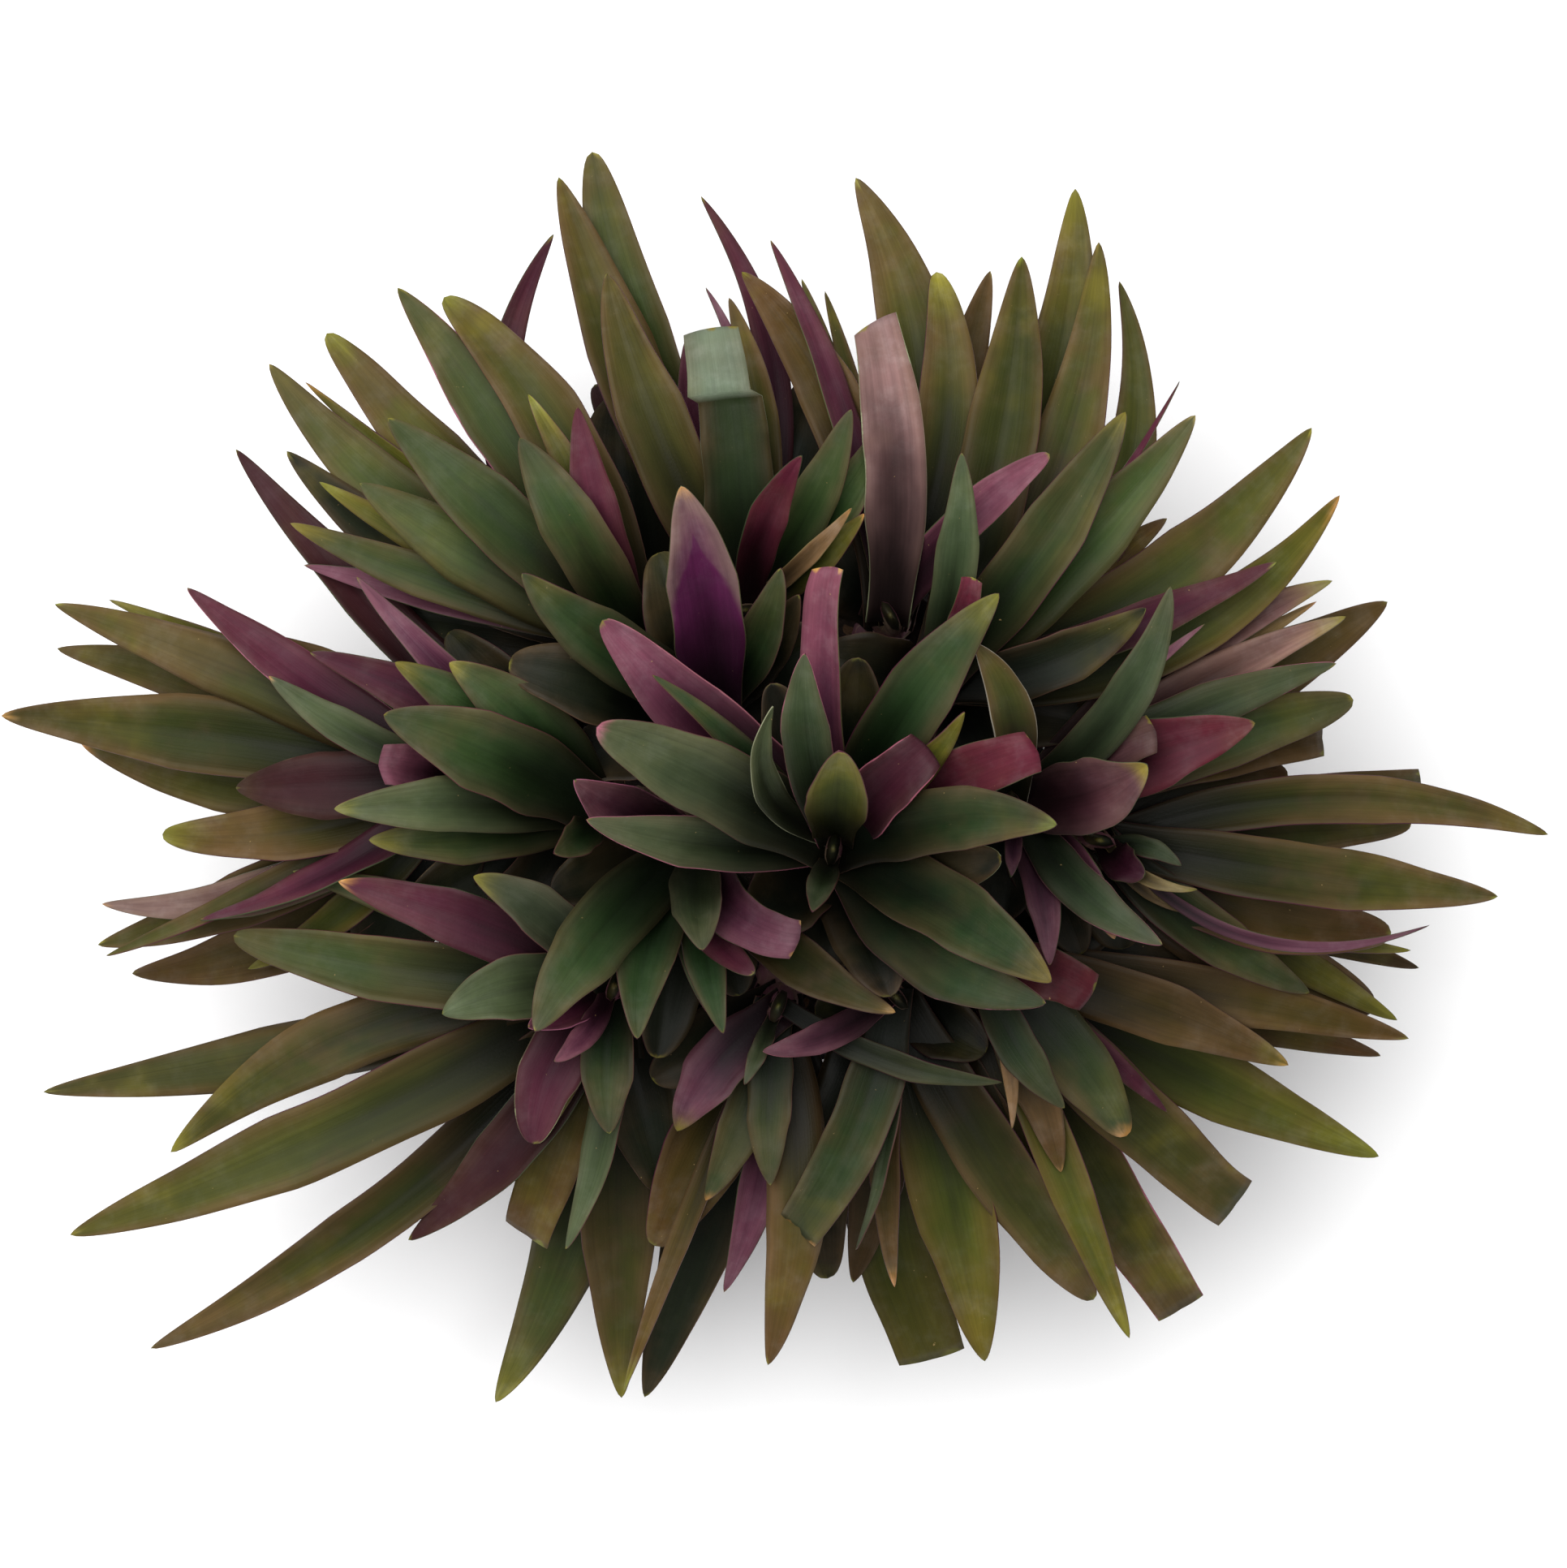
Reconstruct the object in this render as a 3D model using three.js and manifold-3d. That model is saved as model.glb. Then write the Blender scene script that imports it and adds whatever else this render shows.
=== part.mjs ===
// Oyster plant: a dense clump of leafy shoots in a round pot. Millimetres, +Z up, the foot of the
// pot on z = 0 with its centre at the origin.
import * as THREE from "three";
import { mergeVertices } from "three/addons/utils/BufferGeometryUtils.js";
import Module from "manifold-3d";

const wasm = await Module();
wasm.setup();

// Pot
const POT_HEIGHT = 146;
const POT_RIM_RADIUS = 100;
const POT_FOOT_RADIUS = 68;
const POT_WALL = 5;
const POT_RIM_HEIGHT = 24;
const POT_RIM_BAND = 5;
const POT_FLOOR = 7;
const POT_LIP = 2; // rounding of the pot's edges
const POT_SIDES = 26;
const DRAIN_RADIUS = 6;
const DRAIN_CIRCLE = 38;
const DRAIN_COUNT = 4;
const DRAIN_SIDES = 8;

// Soil
const SOIL_LEVEL = 133;
const SOIL_DOME = 2; // height of the middle over the level at the rim
const SOIL_GAP = 0.3; // to the pot's floor
const WALL_GAP = 0.7; // to the pot's wall, between the corners of the two
const HOLE_GAP = 1.1;
const SOIL_SIDES = 18;
const HOLE_SIDES = 8;

// Stems
const STEM_RADIUS = 7;
const CROWN_TOP_RADIUS = 8.5;
const SPEAR_TIP_RADIUS = 1;
const CROWN_RADIUS = 9; // the stem wrapped in the leaves' sheaths
const STEM_DEPTH = 26;
const STEM_CLEAR = 5; // straight stretch over the soil
const SPEAR = 20; // height of the rolled young leaf over the crown
const CROWN_STEP = 0.06; // taken up by the crown where a sliver between leaves would not close
const CROWN_TRIES = 12;
const STEM_SIDES = 6;
const STEM_RINGS = 2;

// Leaves
const BLADE_MIDRIB = 1.9; // thickness at the midrib
const BLADE_CHANNEL = 0.24; // rise of the edges over the midrib, a share of the half width
const BLADE_ARCH = 0.085; // arch over the straight line, a share of the length
const WIDE_FROM = 0.34; // share of the length where the full width is reached
const NARROW_FROM = 0.6; // and where the taper to the tip starts
const LANCE_POWER = 0.64;
const ROUND_POWER = 0.45;
const CUT_SHARE = 0.78; // width at a square end, a share of the full width
const BASE_SHARE = 0.68; // width where the blade leaves the stem, a share of the full width
const FIRST_LEAF = 3; // height of the lowest leaf's root over the crown's foot
const LAST_LEAF = 6; // depth of the highest leaf's root under the crown's top
const BASE_INSET = 5; // distance of the blade's root from the stem's axis
const LIFT_STEP = 4; // step of the tip height when a leaf is bent clear of another shoot
const LIFT_ARCH = 0.55; // share of that step that goes into the arch
const LIFT_MOST = 12; // steps each way
const CLEARANCE = 0.9; // room kept round a leaf
const FREE_FROM = 0.22; // share of the length past which leaves of one shoot stay apart too

const MERGE = 1e-4; // vertices nearer than this are one
const ROUNDING = 0.001; // grid that a fused shoot's corners are set on

// Colours
const POT_COLOUR = "#2b2b29";
const SOIL_COLOUR = "#2f241c";
const LEAF_COLOUR = "#4f6135";

// Ways a leaf ends: a long point, a blunt point, a square cut; an UNDER leaf is a long point low in
// the clump, with fewer faces.
const LANCE = 0;
const ROUND = 1;
const CUT = 2;
const UNDER = 3;

// Each leaf: x and y of its tip, width, height of its tip, sideways bow of its middle, roll in
// degrees, and how it ends. The list runs from the lowest leaf of a shoot to the highest.
const SHOOTS = [
  {
    name: "shoot_centre",
    root: [8, -8],
    crown: [16, -17],
    low: 188,
    high: 252,
    leaves: [
      [56, 52, 25, 244, 0, 0, UNDER],
      [26, 56, 26, 234, 0, 0, UNDER],
      [-18, -52, 26, 232, 0, 0, UNDER],
      [8, -74, 24, 228, 0, 0, UNDER],
      [38, -74, 25, 240, 0, 0, UNDER],
      [-46, 8, 24, 246, 0, 0, UNDER],
      [-8, 46, 22, 250, 0, 0, UNDER],
      [74, -50, 24, 250, 0, 0, UNDER],
      [-72, 70, 28, 280, 0, 0, ROUND],
      [93, 20, 22, 278, 3, 0, CUT],
      [97, -76, 27, 276, -11, 0, LANCE],
      [14, 90, 18, 282, 3, -20, CUT],
      [79, 80, 27, 292, 5, 0, LANCE],
      [80, -20, 24, 268, -6, 0, ROUND],
      [-53, 49, 10, 284, -3, 20, LANCE],
      [99, -68, 27, 288, 3, 0, LANCE],
      [52, 21, 22, 266, 2, 0, CUT],
      [66, 35, 13, 276, -3, 15, LANCE],
      [-78, -6, 20, 292, 4, 0, LANCE],
      [101, -8, 25, 300, 6, 0, LANCE],
      [8, -41, 11, 286, 0, 0, LANCE],
      [-7, 37, 12, 298, 15, 35, LANCE],
      [-74, 29, 30, 312, -2, 0, ROUND],
      [5, 57, 19, 326, 4, 0, LANCE],
      [18, 20, 23, 334, 0, 0, ROUND],
    ],
  },
  {
    name: "shoot_inner_upper",
    root: [-16, 21],
    crown: [-28, 34],
    low: 176,
    high: 230,
    leaves: [
      [-108, 54, 27, 210, 0, 0, UNDER],
      [-51, 96, 25, 206, 0, 0, UNDER],
      [-90, 14, 25, 206, 0, 0, UNDER],
      [14, 66, 26, 212, 0, 0, UNDER],
      [3, 80, 17, 246, -2, 0, LANCE],
      [-103, 88, 25, 256, 3, 0, LANCE],
      [-4, 90, 17, 260, -3, 0, LANCE],
      [-30, 93, 18, 268, 2, 0, LANCE],
      [-42, 121, 28, 286, -2, 0, LANCE],
    ],
  },
  {
    name: "shoot_centre_left",
    root: [-24, -10],
    crown: [-38, -15],
    low: 166,
    high: 214,
    leaves: [
      [-92, -35, 25, 206, 0, 0, UNDER],
      [-52, -98, 26, 194, 0, 0, UNDER],
      [-20, -74, 25, 202, 0, 0, UNDER],
      [40, -80, 20, 236, -9, 0, LANCE],
      [-31, -81, 12, 240, -4, 0, LANCE],
      [-14, -65, 15, 252, -8, 0, ROUND],
      [-26, -88, 16, 246, -2, 0, LANCE],
      [-59, -90, 23, 250, -6, 0, LANCE],
      [-98, -87, 28, 262, -5, 0, LANCE],
      [-83, 9, 22, 262, 2, 0, LANCE],
      [-34, -56, 20, 258, 0, 0, LANCE],
      [2, -52, 20, 264, -9, 0, CUT],
    ],
  },
  {
    name: "shoot_left",
    root: [-44, -2],
    crown: [-72, -3],
    low: 166,
    high: 212,
    leaves: [
      [-150, -42, 26, 186, 0, 0, UNDER],
      [-132, 66, 25, 190, 0, 0, UNDER],
      [-120, -58, 24, 192, 0, 0, UNDER],
      [-215, 137, 20, 160, 6, 10, LANCE],
      [-185, 58, 20, 208, -6, 0, LANCE],
      [-167, 87, 13, 208, 3, 0, LANCE],
      [-175, -2, 22, 226, -2, 0, LANCE],
      [-162, -14, 22, 232, 3, 0, LANCE],
      [-152, 54, 23, 238, -2, 0, LANCE],
      [-131, 54, 25, 244, -5, 0, LANCE],
      [-91, -19, 14, 236, 2, 0, LANCE],
      [-156, 34, 31, 248, -3, 0, LANCE],
    ],
  },
  {
    name: "shoot_far_left",
    root: [-72, 5],
    crown: [-126, 9],
    low: 174,
    high: 206,
    leaves: [
      [-276, 24, 26, 132, 9, 0, LANCE],
      [-265, 79, 11, 132, -4, 0, LANCE],
      [-162, -60, 28, 166, 0, 0, UNDER],
      [-205, 62, 25, 160, 0, 0, UNDER],
      [-256, -66, 27, 134, 17, 0, LANCE],
      [-285, 60, 22, 142, -5, 0, LANCE],
      [-269, -55, 22, 142, 8, 0, LANCE],
      [-306, 34, 29, 146, -4, 0, LANCE],
      [-267, -39, 17, 152, 16, 0, LANCE],
      [-265, -59, 11, 156, 4, 30, LANCE],
      [-210, -64, 14, 158, 8, 0, LANCE],
      [-285, 77, 23, 152, -4, 0, LANCE],
      [-243, -12, 22, 160, 8, 0, ROUND],
      [-228, -45, 15, 172, 8, 40, LANCE],
      [-233, 83, 19, 190, 3, 20, LANCE],
      [-214, 6, 27, 180, 0, 0, LANCE],
      [-201, 49, 14, 200, 4, 0, LANCE],
      [-157, 15, 20, 228, 0, 0, CUT],
    ],
  },
  {
    name: "shoot_upper_left",
    root: [-37, 40],
    crown: [-58, 62],
    low: 158,
    high: 214,
    leaves: [
      [-67, 158, 26, 160, 0, 0, UNDER],
      [-160, 75, 26, 168, 0, 0, UNDER],
      [-180, 182, 24, 146, 5, 0, ROUND],
      [-188, 163, 9, 150, 2, 0, LANCE],
      [-202, 170, 25, 158, 13, 0, LANCE],
      [-92, 220, 17, 162, 36, 15, LANCE],
      [-195, 136, 24, 170, 12, 0, LANCE],
      [-152, 199, 25, 172, -3, 0, LANCE],
      [-188, 92, 13, 174, 0, 0, LANCE],
      [-134, 195, 27, 182, -12, 0, ROUND],
      [-182, 124, 14, 180, 3, 0, LANCE],
      [-193, 108, 17, 188, 3, 0, LANCE],
      [-166, 123, 27, 204, 2, 0, LANCE],
      [-155, 148, 27, 212, 1, 0, LANCE],
      [-101, 157, 13, 226, -3, 0, LANCE],
      [-82, 152, 17, 222, 3, 0, LANCE],
      [-104, 140, 24, 220, 0, 0, LANCE],
    ],
  },
  {
    name: "shoot_top",
    root: [-11, 46],
    crown: [-18, 74],
    low: 158,
    high: 214,
    leaves: [
      [-76, 162, 20, 156, 0, 0, UNDER],
      [11, 168, 26, 160, 0, 0, UNDER],
      [-77, 252, 27, 158, 6, 0, ROUND],
      [-35, 235, 12, 150, -21, 20, LANCE],
      [-90, 242, 27, 170, 4, 0, LANCE],
      [-33, 199, 8, 176, -13, 20, LANCE],
      [-24, 195, 15, 180, -10, 0, LANCE],
      [-40, 180, 22, 178, 2, 0, LANCE],
      [-71, 204, 27, 200, 5, 0, LANCE],
      [-27, 183, 27, 218, -2, 0, CUT],
      [38, 149, 17, 232, -5, 0, LANCE],
      [23, 151, 18, 238, -4, 0, LANCE],
      [28, 111, 12, 244, -3, 0, LANCE],
      [23, 113, 7, 250, -2, 0, LANCE],
      [4, 133, 15, 256, 4, 0, LANCE],
    ],
  },
  {
    name: "shoot_top_right",
    root: [20, 44],
    crown: [38, 72],
    low: 158,
    high: 212,
    leaves: [
      [62, 182, 25, 156, 0, 0, UNDER],
      [14, 100, 26, 176, 0, 0, UNDER],
      [4, 203, 10, 152, -3, 0, LANCE],
      [13, 198, 9, 150, -3, 0, LANCE],
      [77, 206, 20, 156, -1, 0, LANCE],
      [25, 242, 29, 168, -19, 0, LANCE],
      [56, 205, 24, 174, -12, 0, ROUND],
      [-19, 205, 24, 178, -13, 0, LANCE],
      [-8, 217, 12, 186, -6, 20, LANCE],
      [99, 134, 16, 228, 5, 0, ROUND],
      [32, 185, 24, 232, -5, 0, CUT],
    ],
  },
  {
    name: "shoot_upper_right",
    root: [35, 24],
    crown: [54, 44],
    low: 162,
    high: 222,
    leaves: [
      [152, 58, 26, 172, 0, 0, UNDER],
      [118, 31, 27, 178, 0, 0, UNDER],
      [84, 14, 24, 184, 0, 0, UNDER],
      [12, 56, 26, 188, 0, 0, UNDER],
      [110, 238, 30, 150, -15, 0, LANCE],
      [150, 163, 4, 160, -7, 0, LANCE],
      [119, 217, 25, 154, -16, 0, LANCE],
      [127, 202, 20, 162, -35, 10, LANCE],
      [89, 211, 29, 168, -7, 0, LANCE],
      [212, 119, 22, 158, -23, 0, LANCE],
      [145, 110, 17, 170, 0, 0, LANCE],
      [201, 145, 28, 172, -16, 0, LANCE],
      [187, 93, 16, 188, -4, 0, LANCE],
      [155, 149, 25, 222, -4, 0, LANCE],
      [136, 75, 21, 214, -7, 0, LANCE],
      [128, 150, 25, 236, -3, 0, LANCE],
      [69, 86, 11, 256, -2, 0, CUT],
      [65, 134, 16, 262, -3, 0, LANCE],
    ],
  },
  {
    name: "shoot_right",
    root: [54, 4],
    crown: [86, -1],
    low: 166,
    high: 220,
    leaves: [
      [112, -58, 22, 190, 0, 0, UNDER],
      [82, -45, 26, 190, 0, 0, UNDER],
      [231, 78, 30, 150, -2, 0, LANCE],
      [209, 86, 18, 158, 10, 0, LANCE],
      [203, 78, 9, 164, 2, 0, LANCE],
      [206, 25, 17, 160, 2, 0, CUT],
      [217, 40, 26, 168, 2, 0, ROUND],
      [214, 72, 18, 176, 5, 0, LANCE],
      [210, 54, 19, 184, 5, 0, LANCE],
      [159, 69, 6, 206, 3, 0, LANCE],
      [178, 31, 28, 222, 2, 0, LANCE],
      [139, 27, 19, 238, 2, 0, CUT],
      [124, -52, 15, 230, 4, 0, LANCE],
      [99, -62, 13, 228, 3, 0, LANCE],
      [145, 83, 18, 250, -11, 0, LANCE],
      [142, -54, 17, 244, -6, 0, LANCE],
      [84, -28, 7, 250, 0, 0, LANCE],
      [136, 15, 29, 254, -4, 0, LANCE],
      [70, 61, 18, 272, -6, 25, LANCE],
    ],
  },
  {
    name: "shoot_far_right",
    root: [67, -23],
    crown: [118, -14],
    low: 170,
    high: 206,
    leaves: [
      [226, -79, 28, 140, -7, 0, UNDER],
      [192, 10, 24, 160, 7, 0, UNDER],
      [128, -56, 25, 180, 0, 0, UNDER],
      [245, 8, 14, 140, 4, 0, CUT],
      [244, -64, 16, 134, -3, 0, LANCE],
      [235, -84, 16, 142, -1, 0, LANCE],
      [240, -8, 21, 146, 0, 0, ROUND],
      [293, -12, 19, 150, 15, 0, LANCE],
      [240, -57, 11, 146, -9, 0, LANCE],
      [232, -50, 28, 158, -9, 0, ROUND],
      [273, -36, 24, 162, -2, 0, LANCE],
      [200, -73, 20, 170, -4, 0, LANCE],
      [246, -47, 5, 180, -22, 0, LANCE],
      [152, -42, 4, 196, -4, 0, LANCE],
      [150, -24, 8, 206, 3, 0, LANCE],
      [136, -27, 14, 216, -2, 0, ROUND],
      [156, -33, 5, 214, -5, 0, LANCE],
    ],
  },
  {
    name: "shoot_lower_right",
    root: [46, -40],
    crown: [72, -60],
    low: 160,
    high: 210,
    leaves: [
      [166, -66, 26, 158, 0, 0, UNDER],
      [136, -38, 24, 176, 0, 0, UNDER],
      [98, -156, 27, 154, 0, 0, UNDER],
      [110, -100, 26, 186, 0, 0, UNDER],
      [229, -98, 20, 140, 2, 0, LANCE],
      [131, -207, 17, 130, 0, 0, LANCE],
      [239, -91, 21, 148, 3, 0, LANCE],
      [152, -197, 27, 150, -3, 0, CUT],
      [173, -156, 28, 156, -2, 0, CUT],
      [228, -137, 27, 154, -3, 0, LANCE],
      [192, -101, 23, 166, 4, 0, LANCE],
      [145, -119, 10, 178, 2, 0, LANCE],
      [104, -142, 18, 184, 3, 0, LANCE],
      [129, -128, 25, 196, 4, 0, ROUND],
      [85, -125, 7, 200, 4, 20, LANCE],
      [105, -117, 16, 208, -4, 0, LANCE],
      [115, -73, 20, 222, 3, 0, CUT],
    ],
  },
  {
    name: "shoot_bottom_right",
    root: [22, -48],
    crown: [40, -74],
    low: 156,
    high: 206,
    leaves: [
      [88, -150, 26, 160, 0, 0, UNDER],
      [7, -151, 27, 166, 0, 0, UNDER],
      [9, -81, 22, 184, 0, 0, UNDER],
      [75, -96, 22, 188, 0, 0, UNDER],
      [56, -217, 33, 140, -12, 0, CUT],
      [24, -186, 22, 144, 3, 0, LANCE],
      [75, -216, 31, 152, 3, 0, LANCE],
      [117, -192, 26, 148, -3, 0, ROUND],
      [40, -187, 12, 162, -4, 0, LANCE],
      [25, -172, 7, 176, 6, 30, LANCE],
      [34, -138, 15, 182, -2, 0, LANCE],
      [2, -165, 23, 186, 6, 0, CUT],
      [-11, -95, 12, 224, 4, 0, LANCE],
    ],
  },
  {
    name: "shoot_bottom",
    root: [-3, -50],
    crown: [-5, -78],
    low: 156,
    high: 206,
    leaves: [
      [-53, -171, 28, 156, 0, 0, UNDER],
      [14, -184, 26, 152, 0, 0, UNDER],
      [-54, -106, 25, 180, 0, 0, UNDER],
      [-65, -228, 9, 134, -2, 0, LANCE],
      [-57, -231, 28, 142, 0, 0, LANCE],
      [-9, -217, 23, 148, 9, 0, LANCE],
      [-26, -189, 16, 154, 6, 0, LANCE],
      [-33, -153, 18, 184, 3, 0, LANCE],
      [-8, -147, 17, 192, -2, 0, LANCE],
      [-44, -126, 22, 196, -4, 0, LANCE],
      [-18, -108, 7, 212, 0, 0, LANCE],
      [81, -107, 10, 218, -6, 15, LANCE],
    ],
  },
  {
    name: "shoot_bottom_left",
    root: [-42, -43],
    crown: [-68, -70],
    low: 158,
    high: 208,
    leaves: [
      [-50, -150, 25, 158, 0, 0, UNDER],
      [-120, -100, 26, 176, 0, 0, UNDER],
      [-164, -72, 25, 160, 0, 0, UNDER],
      [-249, -212, 22, 128, 14, 0, LANCE],
      [-115, -233, 29, 138, 11, 0, LANCE],
      [-279, -167, 30, 136, 6, 0, LANCE],
      [-66, -231, 28, 142, -1, 0, LANCE],
      [-290, -112, 24, 144, 3, 0, LANCE],
      [-147, -124, 11, 150, 2, 0, LANCE],
      [-240, -135, 27, 154, -18, 0, LANCE],
      [-103, -168, 24, 158, 0, 0, CUT],
      [-148, -169, 22, 158, 8, 10, LANCE],
      [-87, -172, 14, 174, 6, 20, LANCE],
      [-97, -131, 9, 182, 0, 0, LANCE],
      [-215, -51, 25, 182, 5, 0, ROUND],
      [-192, -26, 17, 188, -4, 0, LANCE],
      [-99, -131, 25, 196, -7, 0, ROUND],
      [-70, -127, 20, 200, -2, 0, LANCE],
      [-134, -81, 25, 210, -5, 0, LANCE],
      [-174, -30, 22, 212, -3, 0, LANCE],
      [-101, -86, 15, 222, 0, 0, LANCE],
      [-91, -99, 10, 218, 3, 0, LANCE],
      [-122, -28, 20, 228, -5, 0, LANCE],
    ],
  },
];

function solidOf(positions, triangles) {
  const geometry = new THREE.BufferGeometry();
  geometry.setAttribute("position", new THREE.Float32BufferAttribute(positions, 3));
  geometry.setIndex(triangles);
  return solidFrom(geometry);
}

function solidFrom(geometry) {
  geometry.deleteAttribute("normal");
  geometry.deleteAttribute("uv");
  const merged = mergeVertices(geometry, MERGE);
  const vertProperties = new Float32Array(merged.attributes.position.array);
  const triVerts = new Uint32Array(merged.index.array);
  return new wasm.Manifold(new wasm.Mesh({ numProp: 3, vertProperties, triVerts }));
}

// The widest body of a solid, so that loose scraps and the skins of sealed hollows are left out.
function mainBody(solid) {
  const bodies = solid.decompose();
  bodies.sort((a, b) => b.volume() - a.volume());
  return bodies[0];
}

// The same solid with its corners on a grid of ROUNDING and its collapsed triangles left out, or
// null when an edge would no longer be shared by two triangles.
function rounded(solid) {
  const found = solid.getMesh();
  const count = found.numProp;
  const key = new Map();
  const positions = [];
  const index = [];
  for (let i = 0; i < found.vertProperties.length / count; i++) {
    const at = [0, 1, 2].map((k) => Math.round(found.vertProperties[i * count + k] / ROUNDING));
    const name = at.join();
    if (!key.has(name)) {
      key.set(name, positions.length / 3);
      at.forEach((v) => positions.push(v * ROUNDING));
    }
    index.push(key.get(name));
  }
  const triangles = [];
  const edges = new Map();
  for (let i = 0; i < found.triVerts.length; i += 3) {
    const [a, b, c] = [0, 1, 2].map((k) => index[found.triVerts[i + k]]);
    if (a === b || b === c || a === c) continue;
    triangles.push(a, b, c);
    for (const [p, q] of [
      [a, b],
      [b, c],
      [c, a],
    ]) {
      const edge = Math.min(p, q) + " " + Math.max(p, q);
      edges.set(edge, (edges.get(edge) || 0) + 1);
    }
  }
  for (const times of edges.values()) {
    if (times !== 2) return null;
  }
  const vertProperties = new Float32Array(positions);
  const triVerts = new Uint32Array(triangles);
  return new wasm.Manifold(new wasm.Mesh({ numProp: 3, vertProperties, triVerts }));
}

function meshOf(name, solid, colour, roughness) {
  const found = solid.getMesh();
  const count = found.numProp;
  const position = new Float32Array((found.vertProperties.length / count) * 3);
  for (let i = 0; i < position.length / 3; i++) {
    position.set(found.vertProperties.subarray(i * count, i * count + 3), i * 3);
  }
  const geometry = new THREE.BufferGeometry();
  geometry.setAttribute("position", new THREE.BufferAttribute(position, 3));
  geometry.setIndex(new THREE.BufferAttribute(new Uint32Array(found.triVerts), 1));
  geometry.computeVertexNormals();
  const material = new THREE.MeshStandardMaterial({ color: colour, roughness, metalness: 0 });
  const mesh = new THREE.Mesh(geometry, material);
  mesh.name = name;
  return mesh;
}

// A closed surface through rings of equal length, each end filled by a fan round its middle.
function loft(rings) {
  const positions = [];
  const triangles = [];
  const sides = rings[0].length;
  rings.forEach((ring) => ring.forEach((p) => positions.push(p.x, p.y, p.z)));
  for (let i = 0; i + 1 < rings.length; i++) {
    for (let j = 0; j < sides; j++) {
      const a = i * sides + j;
      const b = i * sides + ((j + 1) % sides);
      triangles.push(a, b, b + sides);
      triangles.push(a, b + sides, a + sides);
    }
  }
  const last = (rings.length - 1) * sides;
  for (let j = 1; j + 1 < sides; j++) {
    triangles.push(0, j + 1, j);
    triangles.push(last, last + j, last + j + 1);
  }
  return solidOf(positions, triangles);
}

function lathe(profile, sides) {
  const points = profile.map(([r, z]) => new THREE.Vector2(r, z));
  const geometry = new THREE.LatheGeometry(points, sides);
  geometry.rotateX(Math.PI / 2);
  return solidFrom(geometry);
}

function cylinder(radius, z0, z1, x, y, sides) {
  const ring = (z) => {
    const out = [];
    for (let j = 0; j < sides; j++) {
      const angle = (2 * Math.PI * j) / sides;
      out.push(new THREE.Vector3(x + radius * Math.cos(angle), y + radius * Math.sin(angle), z));
    }
    return out;
  };
  return loft([ring(z0), ring(z1)]);
}

function wallRadius(z) {
  return POT_FOOT_RADIUS + ((POT_RIM_RADIUS - POT_RIM_BAND - POT_FOOT_RADIUS) * z) / POT_HEIGHT;
}

function makePot() {
  const under = POT_HEIGHT - POT_RIM_HEIGHT;
  const inner = (z) => wallRadius(z) - POT_WALL;
  const profile = [
    [0, 0],
    [POT_FOOT_RADIUS - POT_LIP, 0],
    [POT_FOOT_RADIUS, POT_LIP],
    [wallRadius(under), under],
    [POT_RIM_RADIUS - 1.5, under + 1],
    [POT_RIM_RADIUS, under + 3],
    [POT_RIM_RADIUS, POT_HEIGHT - 3],
    [POT_RIM_RADIUS - POT_LIP, POT_HEIGHT],
    [POT_RIM_RADIUS - 3 * POT_LIP, POT_HEIGHT],
    [inner(POT_HEIGHT) + 1, POT_HEIGHT - 3],
    [inner(under), under],
    [inner(POT_FLOOR + 5), POT_FLOOR + 5],
    [inner(POT_FLOOR) - 5, POT_FLOOR],
    [0, POT_FLOOR],
  ];
  let pot = lathe(profile, POT_SIDES);
  for (let i = 0; i < DRAIN_COUNT; i++) {
    const angle = (2 * Math.PI * (i + 0.5)) / DRAIN_COUNT;
    const x = DRAIN_CIRCLE * Math.cos(angle);
    const y = DRAIN_CIRCLE * Math.sin(angle);
    pot = pot.subtract(cylinder(DRAIN_RADIUS, -5, POT_FLOOR + 5, x, y, DRAIN_SIDES));
  }
  return pot;
}

// The soil fills the pot to a low dome, with a plain hole for each stem.
function makeSoil() {
  const inner = (z) => wallRadius(z) - POT_WALL - WALL_GAP;
  const edge = SOIL_LEVEL - 5;
  const profile = [
    [0, POT_FLOOR + SOIL_GAP],
    [inner(POT_FLOOR) - 6, POT_FLOOR + SOIL_GAP],
    [inner(POT_FLOOR + 6) - 0.6, POT_FLOOR + 6],
    [inner(edge), edge],
    [inner(edge) - 4, SOIL_LEVEL - 1.5],
    [52, SOIL_LEVEL + SOIL_DOME / 2],
    [0, SOIL_LEVEL + SOIL_DOME],
  ];
  let soil = lathe(profile, SOIL_SIDES);
  for (const shoot of SHOOTS) {
    const [x, y] = shoot.root;
    const floor = SOIL_LEVEL - STEM_DEPTH - HOLE_GAP;
    soil = soil.subtract(cylinder(STEM_RADIUS + HOLE_GAP, floor, SOIL_LEVEL + 20, x, y, HOLE_SIDES));
  }
  return soil;
}

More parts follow.
